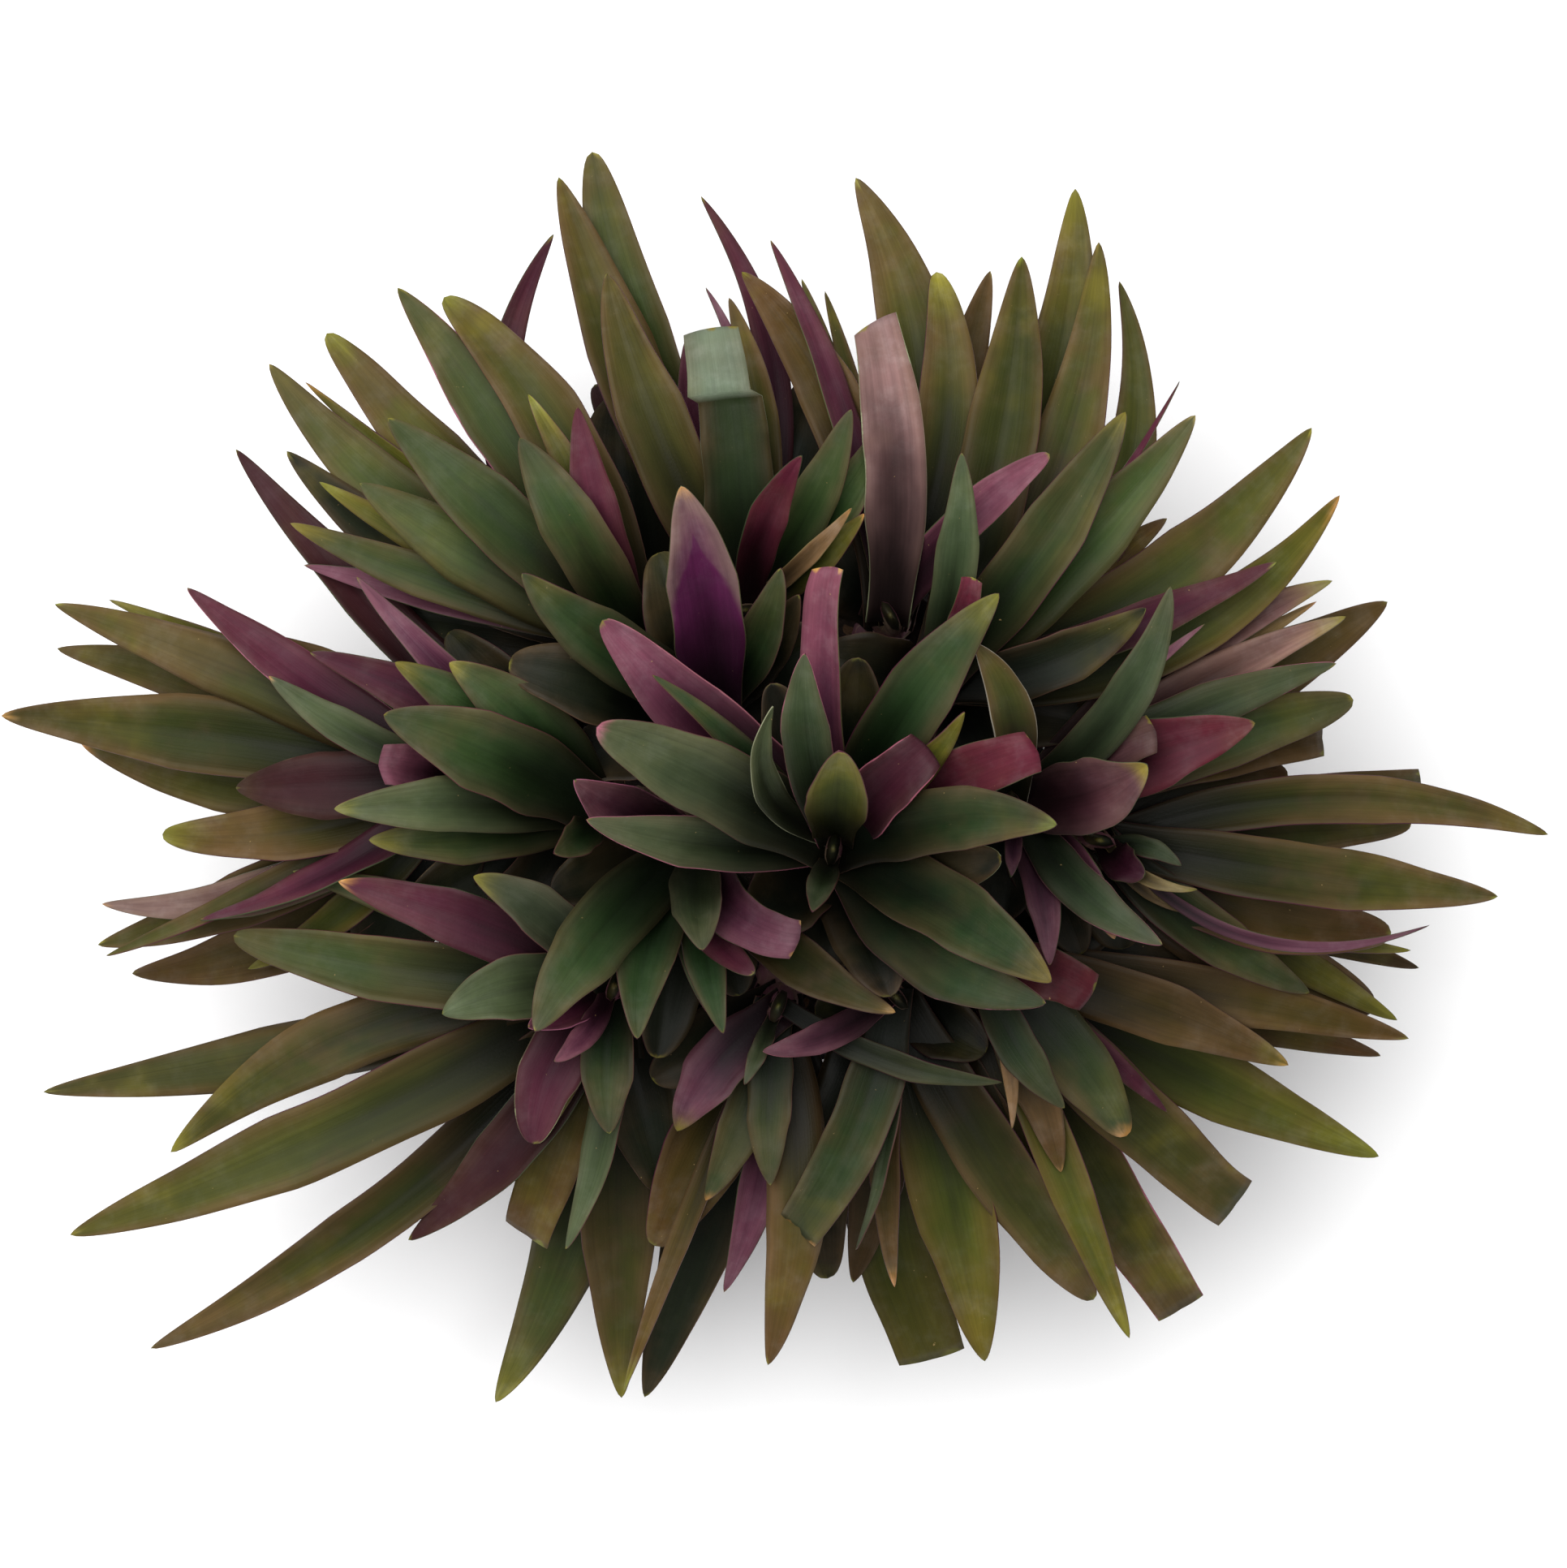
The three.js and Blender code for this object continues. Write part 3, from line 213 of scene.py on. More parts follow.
# Each leaf: x and y of its tip, width, height of its tip, sideways bow of its middle, roll in
# degrees, how it ends and its look. The list runs from the lowest leaf to the highest.
SHOOTS = {
    "shoot_centre": {
        "root": (8, -8),
        "crown": (16, -17),
        "low": 188,
        "high": 252,
        "leaves": [
            Leaf(56, 52, 25, 244, 0, 0, UNDER, "d0"),
            Leaf(26, 56, 26, 234, 0, 0, UNDER, "d0"),
            Leaf(-18, -52, 26, 232, 0, 0, UNDER, "d0"),
            Leaf(8, -74, 24, 228, 0, 0, UNDER, "d0"),
            Leaf(38, -74, 25, 240, 0, 0, UNDER, "d0"),
            Leaf(-46, 8, 24, 246, 0, 0, UNDER, "d0"),
            Leaf(-8, 46, 22, 250, 0, 0, UNDER, "d0"),
            Leaf(74, -50, 24, 250, 0, 0, UNDER, "d0"),
            Leaf(-72, 70, 28, 280, 0, 0, ROUND, "m3"),
            Leaf(93, 20, 22, 278, 3, 0, CUT, "c0"),
            Leaf(97, -76, 27, 276, -11, 0, LANCE, "g3"),
            Leaf(14, 90, 18, 282, 3, -20, CUT, "m2"),
            Leaf(79, 80, 27, 292, 5, 0, LANCE, "g1"),
            Leaf(80, -20, 24, 268, -6, 0, ROUND, "d4"),
            Leaf(-53, 49, 10, 284, -3, 20, LANCE, "g0"),
            Leaf(99, -68, 27, 288, 3, 0, LANCE, "g1"),
            Leaf(52, 21, 22, 266, 2, 0, CUT, "p3"),
            Leaf(66, 35, 13, 276, -3, 15, LANCE, "y0"),
            Leaf(-78, -6, 20, 292, 4, 0, LANCE, "w3"),
            Leaf(101, -8, 25, 300, 6, 0, LANCE, "g1"),
            Leaf(8, -41, 11, 286, 0, 0, LANCE, "w0"),
            Leaf(-7, 37, 12, 298, 15, 35, LANCE, "w4"),
            Leaf(-74, 29, 30, 312, -2, 0, ROUND, "w5"),
            Leaf(5, 57, 19, 326, 4, 0, LANCE, "w3"),
            Leaf(18, 20, 23, 334, 0, 0, ROUND, "y0"),
        ],
    },
    "shoot_inner_upper": {
        "root": (-16, 21),
        "crown": (-28, 34),
        "low": 176,
        "high": 230,
        "leaves": [
            Leaf(-108, 54, 27, 210, 0, 0, UNDER, "d0"),
            Leaf(-51, 96, 25, 206, 0, 0, UNDER, "d0"),
            Leaf(-90, 14, 25, 206, 0, 0, UNDER, "d0"),
            Leaf(14, 66, 26, 212, 0, 0, UNDER, "d0"),
            Leaf(3, 80, 17, 246, -2, 0, LANCE, "d0"),
            Leaf(-103, 88, 25, 256, 3, 0, LANCE, "g0"),
            Leaf(-4, 90, 17, 260, -3, 0, LANCE, "g0"),
            Leaf(-30, 93, 18, 268, 2, 0, LANCE, "c0"),
            Leaf(-42, 121, 28, 286, -2, 0, LANCE, "v2"),
        ],
    },
    "shoot_centre_left": {
        "root": (-24, -10),
        "crown": (-38, -15),
        "low": 166,
        "high": 214,
        "leaves": [
            Leaf(-92, -35, 25, 206, 0, 0, UNDER, "d0"),
            Leaf(-52, -98, 26, 194, 0, 0, UNDER, "d0"),
            Leaf(-20, -74, 25, 202, 0, 0, UNDER, "d0"),
            Leaf(40, -80, 20, 236, -9, 0, LANCE, "o2"),
            Leaf(-31, -81, 12, 240, -4, 0, LANCE, "w0"),
            Leaf(-14, -65, 15, 252, -8, 0, ROUND, "p0"),
            Leaf(-26, -88, 16, 246, -2, 0, LANCE, "g0"),
            Leaf(-59, -90, 23, 250, -6, 0, LANCE, "g0"),
            Leaf(-98, -87, 28, 262, -5, 0, LANCE, "g0"),
            Leaf(-83, 9, 22, 262, 2, 0, LANCE, "m3"),
            Leaf(-34, -56, 20, 258, 0, 0, LANCE, "w0"),
            Leaf(2, -52, 20, 264, -9, 0, CUT, "m2"),
        ],
    },
    "shoot_left": {
        "root": (-44, -2),
        "crown": (-72, -3),
        "low": 166,
        "high": 212,
        "leaves": [
            Leaf(-150, -42, 26, 186, 0, 0, UNDER, "d0"),
            Leaf(-132, 66, 25, 190, 0, 0, UNDER, "d0"),
            Leaf(-120, -58, 24, 192, 0, 0, UNDER, "d0"),
            Leaf(-215, 137, 20, 160, 6, 10, LANCE, "r0"),
            Leaf(-185, 58, 20, 208, -6, 0, LANCE, "p0"),
            Leaf(-167, 87, 13, 208, 3, 0, LANCE, "m0"),
            Leaf(-175, -2, 22, 226, -2, 0, LANCE, "w1"),
            Leaf(-162, -14, 22, 232, 3, 0, LANCE, "g1"),
            Leaf(-152, 54, 23, 238, -2, 0, LANCE, "g1"),
            Leaf(-131, 54, 25, 244, -5, 0, LANCE, "g1"),
            Leaf(-91, -19, 14, 236, 2, 0, LANCE, "g0"),
            Leaf(-156, 34, 31, 248, -3, 0, LANCE, "g0"),
        ],
    },
    "shoot_far_left": {
        "root": (-72, 5),
        "crown": (-126, 9),
        "low": 174,
        "high": 206,
        "leaves": [
            Leaf(-276, 24, 26, 132, 9, 0, LANCE, "o2"),
            Leaf(-265, 79, 11, 132, -4, 0, LANCE, "y1"),
            Leaf(-162, -60, 28, 166, 0, 0, UNDER, "d0"),
            Leaf(-205, 62, 25, 160, 0, 0, UNDER, "b0"),
            Leaf(-256, -66, 27, 134, 17, 0, LANCE, "b0"),
            Leaf(-285, 60, 22, 142, -5, 0, LANCE, "o0"),
            Leaf(-269, -55, 22, 142, 8, 0, LANCE, "o0"),
            Leaf(-306, 34, 29, 146, -4, 0, LANCE, "e2"),
            Leaf(-267, -39, 17, 152, 16, 0, LANCE, "t2"),
            Leaf(-265, -59, 11, 156, 4, 30, LANCE, "o0"),
            Leaf(-210, -64, 14, 158, 8, 0, LANCE, "y1"),
            Leaf(-285, 77, 23, 152, -4, 0, LANCE, "o0"),
            Leaf(-243, -12, 22, 160, 8, 0, ROUND, "b1"),
            Leaf(-228, -45, 15, 172, 8, 40, LANCE, "p0"),
            Leaf(-233, 83, 19, 190, 3, 20, LANCE, "p3"),
            Leaf(-214, 6, 27, 180, 0, 0, LANCE, "r0"),
            Leaf(-201, 49, 14, 200, 4, 0, LANCE, "w2"),
            Leaf(-157, 15, 20, 228, 0, 0, CUT, "m2"),
        ],
    },
    "shoot_upper_left": {
        "root": (-37, 40),
        "crown": (-58, 62),
        "low": 158,
        "high": 214,
        "leaves": [
            Leaf(-67, 158, 26, 160, 0, 0, UNDER, "d0"),
            Leaf(-160, 75, 26, 168, 0, 0, UNDER, "d0"),
            Leaf(-180, 182, 24, 146, 5, 0, ROUND, "o1"),
            Leaf(-188, 163, 9, 150, 2, 0, LANCE, "y2"),
            Leaf(-202, 170, 25, 158, 13, 0, LANCE, "g0"),
            Leaf(-92, 220, 17, 162, 36, 15, LANCE, "p0"),
            Leaf(-195, 136, 24, 170, 12, 0, LANCE, "d0"),
            Leaf(-152, 199, 25, 172, -3, 0, LANCE, "g3"),
            Leaf(-188, 92, 13, 174, 0, 0, LANCE, "m0"),
            Leaf(-134, 195, 27, 182, -12, 0, ROUND, "o1"),
            Leaf(-182, 124, 14, 180, 3, 0, LANCE, "y1"),
            Leaf(-193, 108, 17, 188, 3, 0, LANCE, "g1"),
            Leaf(-166, 123, 27, 204, 2, 0, LANCE, "g0"),
            Leaf(-155, 148, 27, 212, 1, 0, LANCE, "g0"),
            Leaf(-101, 157, 13, 226, -3, 0, LANCE, "o1"),
            Leaf(-82, 152, 17, 222, 3, 0, LANCE, "p0"),
            Leaf(-104, 140, 24, 220, 0, 0, LANCE, "g0"),
        ],
    },
    "shoot_top": {
        "root": (-11, 46),
        "crown": (-18, 74),
        "low": 158,
        "high": 214,
        "leaves": [
            Leaf(-76, 162, 20, 156, 0, 0, UNDER, "r0"),
            Leaf(11, 168, 26, 160, 0, 0, UNDER, "d0"),
            Leaf(-77, 252, 27, 158, 6, 0, ROUND, "g0"),
            Leaf(-35, 235, 12, 150, -21, 20, LANCE, "p0"),
            Leaf(-90, 242, 27, 170, 4, 0, LANCE, "o0"),
            Leaf(-33, 199, 8, 176, -13, 20, LANCE, "m0"),
            Leaf(-24, 195, 15, 180, -10, 0, LANCE, "o0"),
            Leaf(-40, 180, 22, 178, 2, 0, LANCE, "p0"),
            Leaf(-71, 204, 27, 200, 5, 0, LANCE, "o0"),
            Leaf(-27, 183, 27, 218, -2, 0, CUT, "f0"),
            Leaf(38, 149, 17, 232, -5, 0, LANCE, "g0"),
            Leaf(23, 151, 18, 238, -4, 0, LANCE, "g0"),
            Leaf(28, 111, 12, 244, -3, 0, LANCE, "y2"),
            Leaf(23, 113, 7, 250, -2, 0, LANCE, "s2"),
            Leaf(4, 133, 15, 256, 4, 0, LANCE, "c0"),
        ],
    },
    "shoot_top_right": {
        "root": (20, 44),
        "crown": (38, 72),
        "low": 158,
        "high": 212,
        "leaves": [
            Leaf(62, 182, 25, 156, 0, 0, UNDER, "b0"),
            Leaf(14, 100, 26, 176, 0, 0, UNDER, "d0"),
            Leaf(4, 203, 10, 152, -3, 0, LANCE, "o0"),
            Leaf(13, 198, 9, 150, -3, 0, LANCE, "o0"),
            Leaf(77, 206, 20, 156, -1, 0, LANCE, "b0"),
            Leaf(25, 242, 29, 168, -19, 0, LANCE, "o0"),
            Leaf(56, 205, 24, 174, -12, 0, ROUND, "e1"),
            Leaf(-19, 205, 24, 178, -13, 0, LANCE, "b0"),
            Leaf(-8, 217, 12, 186, -6, 20, LANCE, "p0"),
            Leaf(99, 134, 16, 228, 5, 0, ROUND, "m0"),
            Leaf(32, 185, 24, 232, -5, 0, CUT, "t4"),
        ],
    },
    "shoot_upper_right": {
        "root": (35, 24),
        "crown": (54, 44),
        "low": 162,
        "high": 222,
        "leaves": [
            Leaf(152, 58, 26, 172, 0, 0, UNDER, "d0"),
            Leaf(118, 31, 27, 178, 0, 0, UNDER, "d0"),
            Leaf(84, 14, 24, 184, 0, 0, UNDER, "d0"),
            Leaf(12, 56, 26, 188, 0, 0, UNDER, "d0"),
            Leaf(110, 238, 30, 150, -15, 0, LANCE, "o1"),
            Leaf(150, 163, 4, 160, -7, 0, LANCE, "p0"),
            Leaf(119, 217, 25, 154, -16, 0, LANCE, "o0"),
            Leaf(127, 202, 20, 162, -35, 10, LANCE, "e0"),
            Leaf(89, 211, 29, 168, -7, 0, LANCE, "e0"),
            Leaf(212, 119, 22, 158, -23, 0, LANCE, "y2"),
            Leaf(145, 110, 17, 170, 0, 0, LANCE, "b0"),
            Leaf(201, 145, 28, 172, -16, 0, LANCE, "o0"),
            Leaf(187, 93, 16, 188, -4, 0, LANCE, "p0"),
            Leaf(155, 149, 25, 222, -4, 0, LANCE, "g0"),
            Leaf(136, 75, 21, 214, -7, 0, LANCE, "d0"),
            Leaf(128, 150, 25, 236, -3, 0, LANCE, "g1"),
            Leaf(69, 86, 11, 256, -2, 0, CUT, "c0"),
            Leaf(65, 134, 16, 262, -3, 0, LANCE, "w0"),
        ],
    },
    "shoot_right": {
        "root": (54, 4),
        "crown": (86, -1),
        "low": 166,
        "high": 220,
        "leaves": [
            Leaf(112, -58, 22, 190, 0, 0, UNDER, "d0"),
            Leaf(82, -45, 26, 190, 0, 0, UNDER, "d0"),
            Leaf(231, 78, 30, 150, -2, 0, LANCE, "b0"),
            Leaf(209, 86, 18, 158, 10, 0, LANCE, "t1"),
            Leaf(203, 78, 9, 164, 2, 0, LANCE, "s2"),
            Leaf(206, 25, 17, 160, 2, 0, CUT, "b0"),
            Leaf(217, 40, 26, 168, 2, 0, ROUND, "g0"),
            Leaf(214, 72, 18, 176, 5, 0, LANCE, "t1"),
            Leaf(210, 54, 19, 184, 5, 0, LANCE, "w3"),
            Leaf(159, 69, 6, 206, 3, 0, LANCE, "m0"),
            Leaf(178, 31, 28, 222, 2, 0, LANCE, "c0"),
            Leaf(139, 27, 19, 238, 2, 0, CUT, "u0"),
            Leaf(124, -52, 15, 230, 4, 0, LANCE, "m2"),
            Leaf(99, -62, 13, 228, 3, 0, LANCE, "m0"),
            Leaf(145, 83, 18, 250, -11, 0, LANCE, "w0"),
            Leaf(142, -54, 17, 244, -6, 0, LANCE, "w3"),
            Leaf(84, -28, 7, 250, 0, 0, LANCE, "m0"),
            Leaf(136, 15, 29, 254, -4, 0, LANCE, "u1"),
            Leaf(70, 61, 18, 272, -6, 25, LANCE, "o4"),
        ],
    },
    "shoot_far_right": {
        "root": (67, -23),
        "crown": (118, -14),
        "low": 170,
        "high": 206,
        "leaves": [
            Leaf(226, -79, 28, 140, -7, 0, UNDER, "b0"),
            Leaf(192, 10, 24, 160, 7, 0, UNDER, "b0"),
            Leaf(128, -56, 25, 180, 0, 0, UNDER, "d0"),
            Leaf(245, 8, 14, 140, 4, 0, CUT, "o0"),
            Leaf(244, -64, 16, 134, -3, 0, LANCE, "b0"),
            Leaf(235, -84, 16, 142, -1, 0, LANCE, "y1"),
            Leaf(240, -8, 21, 146, 0, 0, ROUND, "o0"),
            Leaf(293, -12, 19, 150, 15, 0, LANCE, "o0"),
            Leaf(240, -57, 11, 146, -9, 0, LANCE, "y1"),
            Leaf(232, -50, 28, 158, -9, 0, ROUND, "b0"),
            Leaf(273, -36, 24, 162, -2, 0, LANCE, "e0"),
            Leaf(200, -73, 20, 170, -4, 0, LANCE, "g0"),
            Leaf(246, -47, 5, 180, -22, 0, LANCE, "m0"),
            Leaf(152, -42, 4, 196, -4, 0, LANCE, "s0"),
            Leaf(150, -24, 8, 206, 3, 0, LANCE, "w0"),
            Leaf(136, -27, 14, 216, -2, 0, ROUND, "p0"),
            Leaf(156, -33, 5, 214, -5, 0, LANCE, "s1"),
        ],
    },
    "shoot_lower_right": {
        "root": (46, -40),
        "crown": (72, -60),
        "low": 160,
        "high": 210,
        "leaves": [
            Leaf(166, -66, 26, 158, 0, 0, UNDER, "d0"),
            Leaf(136, -38, 24, 176, 0, 0, UNDER, "d0"),
            Leaf(98, -156, 27, 154, 0, 0, UNDER, "b0"),
            Leaf(110, -100, 26, 186, 0, 0, UNDER, "d0"),
            Leaf(229, -98, 20, 140, 2, 0, LANCE, "b0"),
            Leaf(131, -207, 17, 130, 0, 0, LANCE, "y1"),
            Leaf(239, -91, 21, 148, 3, 0, LANCE, "b0"),
            Leaf(152, -197, 27, 150, -3, 0, CUT, "o3"),
            Leaf(173, -156, 28, 156, -2, 0, CUT, "e0"),
            Leaf(228, -137, 27, 154, -3, 0, LANCE, "y1"),
            Leaf(192, -101, 23, 166, 4, 0, LANCE, "b2"),
            Leaf(145, -119, 10, 178, 2, 0, LANCE, "p0"),
            Leaf(104, -142, 18, 184, 3, 0, LANCE, "b2"),
            Leaf(129, -128, 25, 196, 4, 0, ROUND, "g2"),
            Leaf(85, -125, 7, 200, 4, 20, LANCE, "s0"),
            Leaf(105, -117, 16, 208, -4, 0, LANCE, "w0"),
            Leaf(115, -73, 20, 222, 3, 0, CUT, "c0"),
        ],
    },
    "shoot_bottom_right": {
        "root": (22, -48),
        "crown": (40, -74),
        "low": 156,
        "high": 206,
        "leaves": [
            Leaf(88, -150, 26, 160, 0, 0, UNDER, "b0"),
            Leaf(7, -151, 27, 166, 0, 0, UNDER, "d0"),
            Leaf(9, -81, 22, 184, 0, 0, UNDER, "d0"),
            Leaf(75, -96, 22, 188, 0, 0, UNDER, "d0"),
            Leaf(56, -217, 33, 140, -12, 0, CUT, "y0"),
            Leaf(24, -186, 22, 144, 3, 0, LANCE, "b0"),
            Leaf(75, -216, 31, 152, 3, 0, LANCE, "y0"),
            Leaf(117, -192, 26, 148, -3, 0, ROUND, "o0"),
            Leaf(40, -187, 12, 162, -4, 0, LANCE, "b2"),
            Leaf(25, -172, 7, 176, 6, 30, LANCE, "w0"),
            Leaf(34, -138, 15, 182, -2, 0, LANCE, "p0"),
            Leaf(2, -165, 23, 186, 6, 0, CUT, "g2"),
            Leaf(-11, -95, 12, 224, 4, 0, LANCE, "m3"),
        ],
    },
    "shoot_bottom": {
        "root": (-3, -50),
        "crown": (-5, -78),
        "low": 156,
        "high": 206,
        "leaves": [
            Leaf(-53, -171, 28, 156, 0, 0, UNDER, "b0"),
            Leaf(14, -184, 26, 152, 0, 0, UNDER, "d0"),
            Leaf(-54, -106, 25, 180, 0, 0, UNDER, "d0"),
            Leaf(-65, -228, 9, 134, -2, 0, LANCE, "b1"),
            Leaf(-57, -231, 28, 142, 0, 0, LANCE, "d0"),
            Leaf(-9, -217, 23, 148, 9, 0, LANCE, "b0"),
            Leaf(-26, -189, 16, 154, 6, 0, LANCE, "m0"),
            Leaf(-33, -153, 18, 184, 3, 0, LANCE, "g2"),
            Leaf(-8, -147, 17, 192, -2, 0, LANCE, "g0"),
            Leaf(-44, -126, 22, 196, -4, 0, LANCE, "m1"),
            Leaf(-18, -108, 7, 212, 0, 0, LANCE, "w0"),
            Leaf(81, -107, 10, 218, -6, 15, LANCE, "w0"),
        ],
    },
    "shoot_bottom_left": {
        "root": (-42, -43),
        "crown": (-68, -70),
        "low": 158,
        "high": 208,
        "leaves": [
            Leaf(-50, -150, 25, 158, 0, 0, UNDER, "d0"),
            Leaf(-120, -100, 26, 176, 0, 0, UNDER, "d0"),
            Leaf(-164, -72, 25, 160, 0, 0, UNDER, "d0"),
            Leaf(-249, -212, 22, 128, 14, 0, LANCE, "e0"),
            Leaf(-115, -233, 29, 138, 11, 0, LANCE, "g1"),
            Leaf(-279, -167, 30, 136, 6, 0, LANCE, "o0"),
            Leaf(-66, -231, 28, 142, -1, 0, LANCE, "o1"),
            Leaf(-290, -112, 24, 144, 3, 0, LANCE, "e0"),
            Leaf(-147, -124, 11, 150, 2, 0, LANCE, "b2"),
            Leaf(-240, -135, 27, 154, -18, 0, LANCE, "e1"),
            Leaf(-103, -168, 24, 158, 0, 0, CUT, "b0"),
            Leaf(-148, -169, 22, 158, 8, 10, LANCE, "r0"),
            Leaf(-87, -172, 14, 174, 6, 20, LANCE, "w0"),
            Leaf(-97, -131, 9, 182, 0, 0, LANCE, "y2"),
            Leaf(-215, -51, 25, 182, 5, 0, ROUND, "g0"),
            Leaf(-192, -26, 17, 188, -4, 0, LANCE, "g0"),
            Leaf(-99, -131, 25, 196, -7, 0, ROUND, "p4"),
            Leaf(-70, -127, 20, 200, -2, 0, LANCE, "g0"),
            Leaf(-134, -81, 25, 210, -5, 0, LANCE, "w0"),
            Leaf(-174, -30, 22, 212, -3, 0, LANCE, "p2"),
            Leaf(-101, -86, 15, 222, 0, 0, LANCE, "p3"),
            Leaf(-91, -99, 10, 218, 3, 0, LANCE, "m0"),
            Leaf(-122, -28, 20, 228, -5, 0, LANCE, "w1"),
        ],
    },
}


def linear(red, green, blue):
    """A screen colour, 0 to 255, as the linear values that Blender's colours hold."""
    return tuple(
        c / 12.92 if c <= 0.04045 else ((c + 0.055) / 1.055) ** 2.4
        for c in (red / 255, green / 255, blue / 255)
    )


WATER_MARK = linear(128, 118, 104)  # dried on the pot
SCUFF = linear(92, 92, 90)
BARK = linear(112, 84, 58)


def tint(name, text, red, green, blue):
    """A colour setting."""
    return FloatVectorProperty(
        name=name, description=text, subtype="COLOR", size=3, min=0, max=1,
        default=linear(red, green, blue),
    )


class PlantSizes(bpy.types.PropertyGroup):
    """Sizes of the fine surface."""

    cells_along: IntProperty(
        name="Cells along", description="Cells along a leaf", default=34, min=8, max=60
    )
    cells_across: IntProperty(
        name="Cells across", description="Cells across a leaf", default=10, min=4, max=20
    )
    blade_thickness: FloatProperty(
        name="Blade thickness", description="Thickness of a leaf at its midrib",
        default=1.5 * MM, unit="LENGTH",
    )
    edge_wave: FloatProperty(
        name="Edge wave", description="Height of the wave along a leaf's edges",
        default=0.7 * MM, unit="LENGTH",
    )
    outline_wobble: FloatProperty(
        name="Outline wobble", description="Unevenness of a leaf's width, as a share of it",
        default=0.05, subtype="FACTOR",
    )
    soil_crumbs: IntProperty(
        name="Soil crumbs", description="Loose crumbs lying on the soil", default=420, min=0
    )


class PlantColours(bpy.types.PropertyGroup):
    """Colours of the leaves, the pot and the soil."""

    green: tint("Green", "Upper side of the inner leaves", 70, 80, 52)
    green_stripe: tint("Green stripe", "Middle of the inner leaves", 56, 88, 44)
    # The deep greens are the greens darkened as painted shade for leaves low in the clump.
    deep: tint("Deep green", "Leaves low in the clump", 38, 38, 23)
    deep_stripe: tint("Deep stripe", "Middle of the leaves low in the clump", 34, 48, 24)
    pale: tint("Pale green", "Young leaves at the centre", 84, 92, 64)
    pale_stripe: tint("Pale stripe", "Middle of the young leaves", 76, 94, 58)
    olive: tint("Olive", "Upper side of the outer leaves", 86, 78, 34)
    olive_stripe: tint("Olive stripe", "Middle of the outer leaves", 76, 86, 32)
    bronze: tint("Bronze", "Upper side of the darker outer leaves", 78, 70, 30)
    bronze_stripe: tint("Bronze stripe", "Middle of the darker outer leaves", 66, 76, 28)
    yellow: tint("Yellow green", "Upper side of the ageing leaves", 104, 96, 32)
    yellow_stripe: tint("Yellow stripe", "Middle of the ageing leaves", 82, 96, 30)
    brown: tint("Brown olive", "Upper side of the oldest leaves", 92, 66, 30)
    brown_stripe: tint("Brown stripe", "Middle of the oldest leaves", 88, 84, 32)
    purple: tint("Purple", "Underside of a leaf", 86, 40, 54)
    purple_stripe: tint("Purple stripe", "Middle of the underside", 92, 28, 58)
    wine: tint("Wine", "Shaded underside of an outer leaf", 64, 34, 36)
    wine_stripe: tint("Wine stripe", "Middle of a shaded underside", 76, 30, 40)
    mauve: tint("Mauve", "Underside of a young leaf", 124, 74, 88)
    mauve_stripe: tint("Mauve stripe", "Middle of a young leaf's underside", 102, 48, 74)
    violet: tint("Violet", "Lower part of a young leaf's underside", 104, 36, 88)
    dusky: tint("Dusky", "Dusty underside of an old leaf", 148, 108, 104)
    dusky_stripe: tint("Dusky stripe", "Middle of a dusty underside", 98, 66, 66)
    crimson: tint("Crimson", "Underside lit from behind", 108, 36, 52)
    crimson_stripe: tint("Crimson stripe", "Middle of a crimson leaf", 88, 30, 48)
    straw: tint("Straw", "Dried leaves", 160, 134, 88)
    straw_stripe: tint("Straw stripe", "Middle of the dried leaves", 120, 96, 60)
    margin: tint("Margin", "Cast over a green leaf towards its edges", 86, 66, 42)
    # The plain and the pale rim are painted highlights, lighter lines where light catches a leaf's
    # edge; the pink rim is the leaf's own margin.
    rim: tint("Rim", "Thin line along a leaf's edge", 118, 96, 72)
    pink_rim: tint("Pink rim", "Edge of a pink-rimmed leaf", 178, 104, 126)
    pale_highlight_rim: tint("Pale rim", "Edge of a pale-rimmed leaf", 172, 176, 136)
    ripe_tip: tint("Ripe tip", "Yellowing tip of a leaf", 134, 128, 48)
    dry_tip: tint("Dry tip", "Dried tip of a leaf", 206, 150, 78)
    stem: tint("Stem", "Stems and old sheaths", 92, 74, 56)
    pot: tint("Pot", "Plastic of the pot", 44, 44, 42)
    soil: tint("Soil", "Potting soil", 46, 34, 26)
    fold: tint("Fold", "Pale underside of a tip that is folded over", 120, 134, 112)
    floor: tint("Floor", "Pale studio floor", 250, 250, 250)


# A stripe of this strength covers the lower part of the leaf instead of its middle.
PATCHED = 2.0

# How each look is painted, by its letter: colour, stripe, other side's colour, share of the edge
# cast, strength of the stripe.
LOOKS = {
    "g": ("green", "green_stripe", "purple", 0.35, 1.0),
    "o": ("olive", "olive_stripe", "purple", 0.75, 0.7),
    "e": ("bronze", "bronze_stripe", "purple", 0.7, 0.7),
    "y": ("yellow", "yellow_stripe", "purple", 0.35, 0.8),
    "b": ("brown", "brown_stripe", "purple", 0.75, 0.7),
    "p": ("purple", "purple_stripe", "green", 0.1, 0.6),
    "r": ("wine", "wine_stripe", "green", 0.1, 0.7),
    "m": ("mauve", "mauve_stripe", "green", 0.05, 0.8),
    "v": ("dusky", "violet", "green", 0.05, PATCHED),
    "t": ("dusky", "dusky_stripe", "green", 0.3, 1.0),
    "u": ("dusky_stripe", "purple", "green", 0.15, 0.6),
    "c": ("crimson", "crimson_stripe", "green", 0.1, 0.6),
    "d": ("deep", "deep_stripe", "purple", 0.4, 0.7),
    "s": ("straw", "straw_stripe", "straw", 0.2, 0.5),
    "w": ("pale", "pale_stripe", "purple", 0.15, 0.9),
    "f": ("deep", "green_stripe", "fold", 0.3, 0.5),
}

FOLDED = "f"  # its tip is folded over
TURNING = "g"  # turns to olive with age
AGEING = "y"  # doesn't take the painted shade on the clump's side away from the key light
